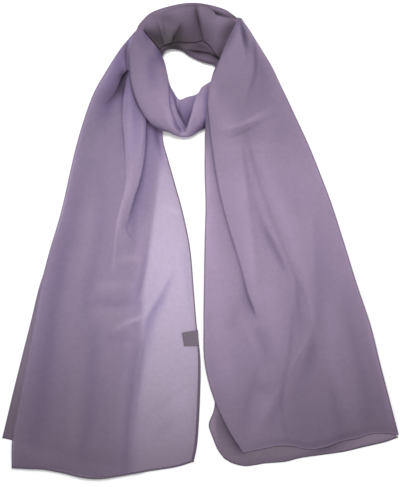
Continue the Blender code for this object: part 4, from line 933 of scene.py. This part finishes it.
def pleat(x, y, z, tone, raised, table):
    """Steps the cloth up on one side of a line, and paints shade into the hollow at the foot of the step."""
    farthest = FELT_REACHES * max(row[PLEAT.index("reach")] for row in table)
    near, at, left = beside(x, y, PLEAT, table, farthest)
    up = left if raised == "left" else -left
    share = np.clip(up / PLEAT_EDGE + 0.5, 0, 1)
    edge = np.sqrt(1 - (1 - share) ** 2)
    z[near] += at["height"] * edge * np.exp(-(np.maximum(up, 0) / at["reach"]) ** 2)
    hollow = np.where(share > 0, 1 - edge, np.exp((up + PLEAT_EDGE / 2) / at["shade_reach"]))
    tone[near] *= 1 - at["shade"] * hollow


def crease(x, y, z, tone, table):
    """Paints light or shade on the cloth along a line, and raises or sinks it where the table has heights."""
    reaches = slice(CREASE.index("left_reach"), CREASE.index("right_reach") + 1)
    farthest = FELT_REACHES * max(max(row[reaches]) for row in table)
    near, at, left = beside(x, y, CREASE, table, farthest)
    reach = np.where(left > 0, at["left_reach"], at["right_reach"])
    share = np.exp(-(left / reach) ** 2)
    z[near] += at.get("height", 0) * share
    tone[near] *= 1 + at["tone"] * share


def fold(x, y, z, pleats, creases):
    """The heights with every fold on them, and the tone of painted light and shade that the folds leave."""
    z = z.copy()
    tone = np.ones_like(z)
    for table in creases.values():
        crease(x, y, z, tone, table)
    for raised, table in pleats.values():
        pleat(x, y, z, tone, raised, table)
    return z, tone


def ripple(x, y, height, waves, seed):
    """Slight unevenness from a few long waves in different directions."""
    random = np.random.default_rng(seed)
    total = 0 * x
    for _ in range(RIPPLE_WAVES):
        angle = random.uniform(0, math.pi)
        length = random.uniform(*waves)
        phase = random.uniform(0, 2 * math.pi)
        total += np.sin((x * math.cos(angle) + y * math.sin(angle)) * 2 * math.pi / length + phase)
    return total * height / math.sqrt(RIPPLE_WAVES)


def painted_light_falloff(x, y):
    """Painted light falloff: the tone darkens a little towards the hems and the outer edges."""
    return 1 - 0.40 * smoothstep(-y, 40, 330) - 0.10 * smoothstep(np.abs(x), 80, 280)


# ---- forms -------------------------------------------------------------------------------------------

def plan(name, table, names, hem):
    """An end's places in plan, how far across each column is, and the table's columns at each row."""
    across = even(GRID[name][1])
    rows = columns(names, smooth_rows(table, GRID[name][0]))
    first_x, first_y, last_x, last_y = (rows[column][:, None] for column in OUTLINE)
    y = first_y + (last_y - first_y) * across
    return first_x + (last_x - first_x) * across, hang_hem(y, across, hem), across, rows


def hang_hem(y, across, hem):
    """Lets the lower rows hang to the curve of the hem."""
    fine = columns(HANG, smooth_curve(hem))
    drop = np.interp(across, fine["across"], fine["drop"])
    from_hem = y - y[-1]
    return y - drop * (1 - smoothstep(from_hem, 0, HEM_DEPTH))


def crest_profile(across, rows, first_z, last_z):
    """A rounded rise from each edge to the crest, across every row."""
    at = rows["crest_at"][:, None]
    top = rows["crest_z"][:, None]
    first = first_z[:, None]
    last = last_z[:, None]
    rising = np.sqrt(np.clip(1 - (1 - np.minimum(across / at, 1)) ** 2, 0, 1))
    falling = np.cos(math.pi / 2 * np.clip((across - at) / (1 - at), 0, 1))
    return np.where(across < at, first + (top - first) * rising, last + (top - last) * falling)


def gathered(name, table, edge_layers):
    """Places and top of a gathered stretch: rounded ledges at its edges, and a rounded rise between."""
    rows = columns(GATHERED, smooth_rows(table, GRID[name][0]))
    width = np.hypot(rows["inner_x"] - rows["outer_x"], rows["inner_y"] - rows["outer_y"])
    ledge = np.minimum(LEDGE / width, LEDGE_SHARE)[:, None]
    across = crowded_at_edges(GRID[name][1]) + 0 * ledge
    x = rows["outer_x"][:, None] * (1 - across) + rows["inner_x"][:, None] * across
    y = rows["outer_y"][:, None] * (1 - across) + rows["inner_y"][:, None] * across
    layers = np.minimum(across, 1 - across) / ledge
    steps = sum((smoothstep(layers, k + 1 - LEDGE_ROUND, k + 1) for k in range(edge_layers)), 0 * across)
    edge_z = np.where(across < 0.5, rows["outer_z"][:, None], rows["inner_z"][:, None])
    inside = edge_layers * ledge
    between = np.clip((across - inside) / (1 - 2 * inside), 0, 1)
    rise = edge_layers * PLY
    rounded = crest_profile(between, rows, rows["outer_z"] + rise, rows["inner_z"] + rise)
    return x, y, np.where(layers < edge_layers, edge_z + PLY * steps, rounded), across


def left_tail_height(x, y):
    """Height of the left end's upper layer, on the lower layers or on the floor beside them."""
    edge = columns(OUTLINE, smooth_rows(LEFT_TAIL_SECOND, EDGE_STEPS))
    edge_x = np.interp(-y, -edge["right_y"], edge["right_x"])
    settled = smoothstep(x - edge_x, *SETTLE)
    return SECOND_LAYER + (FIRST_LAYER - SECOND_LAYER) * settled


# ---- meshes ------------------------------------------------------------------------------------------

def linked(name, points, quads, numbers, material):
    """An object of smooth quads, with a number for each point under each name."""
    mesh = bpy.data.meshes.new(name)
    mesh.from_pydata((points.reshape(-1, 3) * MM).tolist(), [], quads.tolist())
    for number, values in numbers.items():
        attribute = mesh.attributes.new(number, "FLOAT", "POINT")
        attribute.data.foreach_set("value", np.asarray(values, np.float32).ravel())
    mesh.shade_smooth()
    mesh.materials.append(material)
    piece = bpy.data.objects.new(name, mesh)
    bpy.context.scene.collection.objects.link(piece)
    return piece


def surface(name, x, y, z, tone, hollow_tone, material, cover=None):
    """One sheet over rows and columns of places, with its tone of painted light and shade, the hue of painted
    shade in its hollows, and its cover if it is sheer.
    """
    rows, cols = x.shape
    index = np.arange(rows * cols).reshape(rows, cols)
    corners = (index[:-1, :-1], index[1:, :-1], index[1:, 1:], index[:-1, 1:])
    quads = np.stack([corner.ravel() for corner in corners], axis=1)
    points = np.stack([x, y, z], axis=-1).reshape(-1, 3)
    first, second, third = (points[quads[:, k]] for k in range(3))
    if np.cross(second - first, third - second)[:, 2].sum() < 0:
        quads = quads[:, ::-1]
    numbers = {"tone": tone, "hollow": np.clip(HOLLOW_GAIN * (1 - hollow_tone), 0, 1)}
    if cover is not None:
        numbers["cover"] = cover
    return linked(name, points, quads, numbers, material)


def with_skirt(x, y, z, tone, hollow_tone, floor_z):
    """The same sheet with its long edges carried down to what it lies on."""
    def side(edge, inner):
        away = np.stack([x[:, inner] - x[:, edge], y[:, inner] - y[:, edge]])
        away = away / np.maximum(np.linalg.norm(away, axis=0), 1e-6)
        share = np.linspace(1, 0, SKIRT_STEPS, endpoint=False)
        sx = x[:, edge, None] + away[0][:, None] * SKIRT_INSET * share
        sy = y[:, edge, None] + away[1][:, None] * SKIRT_INSET * share
        sz = z[:, edge, None] + (floor_z[:, edge, None] - z[:, edge, None]) * share
        # The carried-down edge gets painted shade.
        darker = np.repeat(tone[:, edge, None] * SKIRT_TONE, SKIRT_STEPS, axis=1)
        return sx, sy, sz, darker, np.repeat(hollow_tone[:, edge, None], SKIRT_STEPS, axis=1)

    left = side(0, 3)
    right = [part[:, ::-1] for part in side(-1, -4)]
    return [np.hstack(parts) for parts in zip(left, (x, y, z, tone, hollow_tone), right)]


def hem_paths(x, y, z, right_inset=HEM_INSET):
    """The lines of the hems, just inside the left, right and lower edges of a sheet."""
    places = np.stack([x, y, z], axis=-1)

    def inside(edge, inner, inset=HEM_INSET):
        inward = inner - edge
        return edge + inward * (inset / np.linalg.norm(inward, axis=1))[:, None]

    return {
        "left": inside(places[:, 0], places[:, 2]),
        "right": inside(places[:, -1], places[:, -3], right_inset),
        "lower": inside(places[-1], places[-3]),
    }


def tube(name, path, half_width, half_height, material, tone=1.0):
    """A rolled hem along a path, dimpled at every stitch, with one half width or one for each place."""
    run = np.concatenate([[0], np.cumsum(np.linalg.norm(np.diff(path, axis=0), axis=1))])
    places = np.linspace(0, run[-1], int(run[-1] / LINE_STEP) + 2)
    half_width = np.interp(places, run, half_width + 0 * run)
    path = np.stack([np.interp(places, run, column) for column in path.T], axis=1)
    along = np.gradient(path, axis=0)
    along /= np.linalg.norm(along, axis=1)[:, None]
    across = np.stack([-along[:, 1], along[:, 0], 0 * along[:, 2]], axis=1)
    across /= np.linalg.norm(across, axis=1)[:, None]
    swell = 1 - STITCH_DEPTH * np.abs(np.cos(math.pi * places / STITCH_SPACING)) ** STITCH_SHARPNESS
    rings = []
    for angle in np.linspace(0, 2 * math.pi, TUBE_SIDES, endpoint=False):
        ring = path + across * (half_width * swell * math.cos(angle))[:, None]
        ring[:, 2] = np.maximum(ring[:, 2] + half_height * swell * math.sin(angle), HEM_FLOOR)
        rings.append(ring)
    points = np.stack(rings, axis=1)
    index = np.arange(len(path) * TUBE_SIDES).reshape(len(path), TUBE_SIDES)
    following = np.roll(index, -1, axis=1)
    corners = (index[:-1], following[:-1], following[1:], index[1:])
    quads = np.stack([corner.ravel() for corner in corners], axis=1)
    # A hem's tone is the painted light falloff, times its own factor, which paints it lighter where above 1.
    numbers = {
        "tone": tone * painted_light_falloff(points[..., 0], points[..., 1]),
        "hollow": np.zeros(points.shape[:2]),
    }
    return linked(name, points, quads, numbers, material)


# ---- materials ---------------------------------------------------------------------------------------

def add(nodes, kind, **values):
    """A new node, with its inputs set by their names."""
    node = nodes.new("ShaderNode" + kind)
    for name, value in values.items():
        node.inputs[name.replace("_", " ")].default_value = value
    return node


def attribute(nodes, name):
    """The number that each point has under a name."""
    node = add(nodes, "Attribute")
    node.attribute_name = name
    return node.outputs["Fac"]


def calculated(nodes, links, operation, first, second):
    """The result of a sum or product, where the second part is a socket or a number."""
    node = add(nodes, "Math")
    node.operation = operation
    links.new(first, node.inputs[0])
    if isinstance(second, float):
        node.inputs[1].default_value = second
    else:
        links.new(second, node.inputs[1])
    return node.outputs[0]


def fresh_material(name):
    material = bpy.data.materials.new(name)
    material.use_nodes = True
    nodes = material.node_tree.nodes
    nodes.clear()
    return material, nodes, material.node_tree.links


def tinted(nodes, links, colour, turn_to, amount):
    """A colour multiplied by a factor from a socket, which carries painted light and shade, and turned to the
    hue of painted shade in the hollows.
    """
    hue = add(nodes, "Mix")
    hue.data_type = "RGBA"
    hue.inputs["A"].default_value = (*colour, 1.0)
    hue.inputs["B"].default_value = (*(part * turn for part, turn in zip(colour, turn_to)), 1.0)
    links.new(attribute(nodes, "hollow"), hue.inputs["Factor"])
    scale = add(nodes, "VectorMath")
    scale.operation = "SCALE"
    links.new(hue.outputs["Result"], scale.inputs[0])
    links.new(amount, scale.inputs["Scale"])
    return scale.outputs["Vector"]


def crepe(nodes, links):
    """The fine pebbled bump of crepe chiffon, with its threads just showing, and a soft mottle."""
    place = add(nodes, "TexCoord").outputs["Object"]
    grain = add(nodes, "TexNoise", Scale=1500.0, Detail=1.0)
    mottle = add(nodes, "TexNoise", Scale=160.0, Detail=2.0)
    links.new(place, grain.inputs["Vector"])
    links.new(place, mottle.inputs["Vector"])
    height = calculated(nodes, links, "ADD", grain.outputs["Fac"], mottle.outputs["Fac"])
    bump = add(nodes, "Bump", Strength=0.35, Distance=0.0004)
    links.new(height, bump.inputs["Height"])
    return bump.outputs["Normal"], mottle.outputs["Fac"]


def mixed(nodes, links, share, first, second):
    """Two shaders mixed, with the second's share."""
    mix = add(nodes, "MixShader", Fac=share)
    links.new(first.outputs[0], mix.inputs[1])
    links.new(second.outputs[0], mix.inputs[2])
    return mix


def chiffon(name, colour, through_colour, open_share, through_share, turn_to=HOLLOW_TURN):
    """Cloth with open gaps between its threads, which reflect light and let some of it through."""
    material, nodes, links = fresh_material(name)
    normal, mottle = crepe(nodes, links)
    vary = add(nodes, "MapRange", From_Min=0.3, From_Max=0.7, To_Min=0.97, To_Max=1.03)
    links.new(mottle, vary.inputs["Value"])
    # The tone attribute carries the painted light and shade; the mottle varies it a little at random.
    amount = calculated(nodes, links, "MULTIPLY", attribute(nodes, "tone"), vary.outputs["Result"])
    front = add(nodes, "BsdfPrincipled", Roughness=0.75, Specular_IOR_Level=0.1, Sheen_Weight=0.08,
                Sheen_Roughness=0.5, Sheen_Tint=(*SHEEN_TINT, 1.0))
    links.new(tinted(nodes, links, colour, turn_to, amount), front.inputs["Base Color"])
    links.new(normal, front.inputs["Normal"])
    behind = add(nodes, "BsdfTranslucent")
    links.new(tinted(nodes, links, through_colour, turn_to, amount), behind.inputs["Color"])
    links.new(normal, behind.inputs["Normal"])
    cloth = mixed(nodes, links, through_share, front, behind)
    if open_share > 0:
        cloth = mixed(nodes, links, 1 - open_share, add(nodes, "BsdfTransparent"), cloth)
        share = calculated(nodes, links, "MULTIPLY", attribute(nodes, "cover"), 1 - open_share)
        links.new(share, cloth.inputs["Fac"])
    links.new(cloth.outputs[0], add(nodes, "OutputMaterial").inputs["Surface"])
    return material


def plain(name, colour, roughness):
    material, nodes, links = fresh_material(name)
    shader = add(nodes, "BsdfPrincipled", Base_Color=(*colour, 1.0), Roughness=roughness,
                 Specular_IOR_Level=0.2)
    links.new(shader.outputs[0], add(nodes, "OutputMaterial").inputs["Surface"])
    return material


# ---- the scarf ---------------------------------------------------------------------------------------

def declare(piece, node=None, hems=()):
    """Puts a piece and its hems on the scarf's one body, and the piece in a node's place."""
    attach(piece, "root")
    if node:
        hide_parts(node)
    for hem in hems:
        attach(hem, "root")


def make_left_tail():
    x, y, _, _ = plan("left_tail", LEFT_TAIL, OUTLINE, LEFT_HEM)
    rest = left_tail_height(x, y)
    z, tone = fold(x, y, rest, LEFT_PLEATS, LEFT_CREASES)
    z = np.maximum(z + ripple(x, y, 0.22, WAVE_LENGTHS, RIPPLE_SEED), FIRST_LAYER)
    z = np.maximum(z, rest - 0.3)
    # The cloth is less see-through near the neck and towards the hem.
    cover = 1 + 0.22 * smoothstep(y, 40, 130) + 0.12 * smoothstep(-y, 180, 330)
    # Right of this border the upper layer lies alone and is lighter: less cloth lies under it, and some light
    # is painted on it.
    alone = smoothstep(x, -95, -78)
    # Painted light and shade on the left end: shade near the neck at the left, a highlight along its left
    # rim, shade near the hem, at the far left and along its right edge, and light where the upper layer lies
    # alone.
    neck_shade = 1 - 0.28 * smoothstep(y, 20, 190) * (1 - smoothstep(x, -118, -100))
    left_rim = 1 + 0.30 * np.exp((x[:, :1] - x) / 4.0) * smoothstep(-y, -230, -120)
    near_hem = 1 - 0.10 * smoothstep(-y, 285, 325)
    far_left = -0.04 * smoothstep(-x, 130, 170)
    upper_alone = 0.06 * alone * smoothstep(-y, -60, 20)
    right_rim = -0.10 * np.exp((x - x[:, -1:]) / 8.0)
    sides = 1 + far_left + upper_alone + right_rim
    # Where it lies on more cloth, its colour turns to the hue of painted shade, as in a hollow.
    hollow_tone = tone - 0.08 * (1 - alone) * (1 + smoothstep(y, 60, 180))
    shade = painted_light_falloff(x, y) * neck_shade * left_rim * near_hem * sides
    piece = surface("left_tail_cloth", x, y, z, tone * shade, hollow_tone, SHEER, cover)
    # The right-hand hem shows as a wider roll towards its lower end.
    thick = 0.8 + 1.2 * smoothstep(-y[:, -1], 110, 200)
    paths = hem_paths(x, y, z, thick)
    hems = [
        tube("left_tail_hem_left", paths["left"], 0.7, 0.5, EDGE),
        tube("left_tail_hem_right", paths["right"], thick, 0.7, HEM),
        tube("left_tail_hem_lower", paths["lower"], 1.4, 0.7, HEM, 1.1),
    ]
    declare(piece, "left_tail", hems)


def loose_edge(x, widths):
    """Cover that thins out towards the right-hand edge, over a width that changes from neck to hem."""
    width = np.linspace(*widths, len(x))[:, None]
    return smoothstep(x[:, -1:] - x, 0 * width, width)


def make_under(name, table, hem, height, material, fade, shades, creases, node=None):
    """A lower layer and its hems. Its fade is stated at neck and hem, and its shades, which paint shade on
    it, at hem and neck.
    """
    x, y, _, _ = plan(name, table, OUTLINE, hem)
    z, tone = fold(x, y, height + 0 * x, {}, creases)
    z = np.maximum(z + ripple(x, y, 0.1, UNDER_WAVE_LENGTHS, RIPPLE_SEED + len(name)), SHEET_FLOOR)
    lower_shade, upper_shade = shades
    # Painted shade, going from the lower shade at the hem to the upper shade towards the neck.
    shade = lower_shade + (upper_shade - lower_shade) * smoothstep(y, -280, -110)
    piece = surface(name + "_cloth", x, y, z, shade * tone, tone, material, loose_edge(x, fade))
    paths = hem_paths(x, y, z)
    hems = [
        tube(name + "_hem_lower", paths["lower"], 1.0, 0.5, HEM),
        tube(name + "_hem_side", paths["left"], 0.9, 0.5, EDGE),
    ]
    declare(piece, node, hems)
    return piece, hems


def make_right_tail():
    x, y, across, rows = plan("right_tail", RIGHT_TAIL, CRESTED, RIGHT_HEM)
    crested = crest_profile(across, rows, rows["left_z"], rows["right_z"])
    z, tone = fold(x, y, np.maximum(crested, SECOND_LAYER), RIGHT_PLEATS, RIGHT_CREASES)
    z = np.maximum(z + ripple(x, y, 0.2, WAVE_LENGTHS, RIPPLE_SEED + 1), SECOND_LAYER - 0.6)
    z = z - 0.7 * (1 - smoothstep(y - y[-1], 0, 12))    # the hem lies a little lower
    # Painted shade on the right end: darker towards its outer side in its lower half, and towards the neck.
    far_side = 1 - 0.12 * smoothstep(x, 90, 150) * smoothstep(-y, 0, 90)
    neck_shade = 1 - 0.30 * smoothstep(y, 80, 190)
    shaded = tone * painted_light_falloff(x, y) * neck_shade * far_side
    piece = surface("right_tail_cloth", x, y, z, shaded, tone, DOUBLE, 1 + 0 * x)
    paths = hem_paths(x, y, z)
    free_of_neck = y[:, 0] < 120
    hems = [
        tube("right_tail_hem_left", paths["left"][free_of_neck], 0.9, 0.6, EDGE, 1.05),
        tube("right_tail_hem_right", paths["right"], 0.9, 0.6, EDGE),
        tube("right_tail_hem_lower", paths["lower"], 0.7, 0.4, EDGE, 1.4),
    ]
    declare(piece, "right_tail", hems)


def make_front_loop():
    x, y, z, _ = gathered("front_loop", FRONT_LOOP, 0)
    z, tone = fold(x, y, z, LOOP_PLEATS, LOOP_CREASES)
    # Painted light and shade on the loop: a little lighter at its foot, and darker towards the neck.
    shade = 1.10 - 0.46 * smoothstep(y, 160, 305)
    underside = np.clip(z - LOOP_DEPTH, SHEET_FLOOR, LOOP_FOOT)
    parts = with_skirt(x, y, z, tone * shade, tone, underside)
    piece = surface("front_loop_cloth", *parts, GATHERED_CLOTH)
    declare(piece, "front_loop")


def neck_hollow_tone(x, y, tone):
    """The tone that turns the neck's colour to the hue of its painted shade: a little in each fold, and most
    in a patch at its inner edge.
    """
    patch = np.exp(-((x - DRAB_PLACE[0]) / DRAB_REACH[0]) ** 2 - ((y - DRAB_PLACE[1]) / DRAB_REACH[1]) ** 2)
    return 1 - DRAB_IN_FOLDS * (1 - tone) - DRAB_DEPTH * patch


def make_neck_over():
    x, y, z, across = gathered("neck_over", NECK_OVER, 0)
    z, tone = fold(x, y, z, NECK_OVER_PLEATS, NECK_OVER_CREASES)
    # Painted shade on the upper pass behind the neck: darker along its outer rim, most in the middle, and
    # darker towards its inner edge.
    rim = 0.10 + 0.46 * smoothstep(x, -80, -5) * (1 - smoothstep(x, 8, 26))
    outer_edge = 1 - rim * np.exp(-across / 0.10) - 0.20 * np.exp(-across / 0.02)
    shade = (0.99 - 0.34 * smoothstep(across, 0.05, 0.95)) * outer_edge
    parts = with_skirt(x, y, z, tone * shade, neck_hollow_tone(x, y, tone), NECK_REST + 0 * z)
    piece = surface("neck_over_cloth", *parts, NECK_CLOTH)
    declare(piece, "neck_over")


def make_neck_under():
    x, y, z, across = gathered("neck_under", NECK_UNDER, EDGE_LAYERS)
    z, tone = fold(x, y, z, NECK_UNDER_PLEATS, NECK_UNDER_CREASES)
    # Painted shade on the lower pass: darker towards its inner edge, more so at the left, and along its outer
    # rim.
    inner = smoothstep(across, 0.3, 0.8)
    left_corner = smoothstep(-x, 20, 36)
    outer_rim = 0.12 * np.exp(-across / 0.06)
    shade = (1 - 0.35 * inner) * (1 - 0.28 * inner * left_corner) * (1 - outer_rim)
    parts = with_skirt(x, y, z, tone * shade, neck_hollow_tone(x, y, tone), SHEET_FLOOR + 0 * z)
    piece = surface("neck_under_cloth", *parts, NECK_CLOTH)
    declare(piece, "neck_under")


def make_label():
    upper_left, upper_right, lower_right, lower_left = (np.array(corner, float) for corner in LABEL_CORNERS)
    down = even(GRID["label"][0]).T[..., None]
    across = even(GRID["label"][1])[..., None]
    points = ((upper_left * (1 - across) + upper_right * across) * (1 - down)
              + (lower_left * (1 - across) + lower_right * across) * down)
    x, y = points[..., 0], points[..., 1]
    z = left_tail_height(x, y) + LABEL_LIFT
    ones = 1 + 0 * z
    piece = surface("label_tab", *with_skirt(x, y, z, ones, ones, z - LABEL_THICKNESS), LABEL)
    declare(piece, "label")


# ---- floor, light and camera -------------------------------------------------------------------------

def make_stage():
    mesh = bpy.data.meshes.new("floor")
    corners = [(-1, -1), (1, -1), (1, 1), (-1, 1)]
    mesh.from_pydata([(FLOOR_HALF * x, FLOOR_HALF * y, 0) for x, y in corners], [], [(0, 1, 2, 3)])
    mesh.materials.append(plain("floor_white", FLOOR_WHITE, 0.9))
    floor = bpy.data.objects.new("floor", mesh)
    bpy.context.scene.collection.objects.link(floor)
    world = bpy.data.worlds.new("studio")
    world.use_nodes = True
    background = world.node_tree.nodes["Background"]
    background.inputs["Color"].default_value = (1.0, 1.0, 1.0, 1.0)
    background.inputs["Strength"].default_value = WORLD_LIGHT
    bpy.context.scene.world = world


def make_key_light():
    lamp = bpy.data.lights.new("key", "AREA")
    lamp.shape = "DISK"
    lamp.size = KEY_SIZE
    lamp.energy = KEY_POWER
    light = bpy.data.objects.new("key", lamp)
    light.location = KEY_PLACE
    light.rotation_euler = (-Vector(KEY_PLACE)).to_track_quat("-Z", "Y").to_euler()
    bpy.context.scene.collection.objects.link(light)


def make_camera():
    data = bpy.data.cameras.new("camera")
    data.sensor_width = SENSOR
    data.lens = SENSOR * CAMERA_HEIGHT / VIEW_HEIGHT
    data.clip_end = FAR_CLIP
    camera = bpy.data.objects.new("camera", data)
    camera.location = (*VIEW_CENTRE, CAMERA_HEIGHT)
    bpy.context.scene.collection.objects.link(camera)
    bpy.context.scene.camera = camera


# The numbers are the share of open gaps between the threads, and of light that comes through the threads.
SHEER = chiffon("chiffon_sheer", SHEER_MAUVE, SHEER_THROUGH, 0.18, 0.45)
DOUBLE = chiffon("chiffon_double", DOUBLE_MAUVE, DOUBLE_THROUGH, 0.04, 0.30, DOUBLE_TURN)
LINING = chiffon("chiffon_lining", LINING_MAUVE, DOUBLE_THROUGH, 0.04, 0.30, DOUBLE_TURN)
GATHERED_CLOTH = chiffon("chiffon_gathered_cloth", GATHERED_MAUVE, DOUBLE_THROUGH, 0, 0.12)
NECK_CLOTH = chiffon("chiffon_neck_cloth", NECK_MAUVE, NECK_MAUVE, 0, 0.1, NECK_TURN)
HEM = chiffon("chiffon_hem", HEM_MAUVE, DOUBLE_THROUGH, 0, 0.1)
EDGE = chiffon("chiffon_edge", EDGE_MAUVE, DOUBLE_THROUGH, 0, 0.1)
LABEL = plain("label_satin", LABEL_GREY, 0.5)

make_left_tail()
make_right_tail()
second, second_hems = make_under(
    "left_tail_second", LEFT_TAIL_SECOND, LEFT_SECOND_HEM, MIDDLE_LAYER, SHEER, (5, 16), (0.82, 0.82), {})
flap, flap_hems = make_under(
    "left_tail_under", LEFT_TAIL_UNDER, LEFT_UNDER_HEM, UNDER_LAYER, LINING, (5, 20), (0.42, 0.72), {},
    "left_tail_under")
lining, lining_hems = make_under(
    "right_tail_under", RIGHT_TAIL_UNDER, RIGHT_UNDER_HEM, UNDER_LAYER, LINING, (0.1, 0.1), (0.55, 0.75),
    RIGHT_UNDER_CREASES, "right_tail_under")
make_front_loop()
make_neck_over()
make_neck_under()
make_label()
make_stage()
make_key_light()
make_camera()
bpy.context.scene.view_settings.view_transform = "Standard"
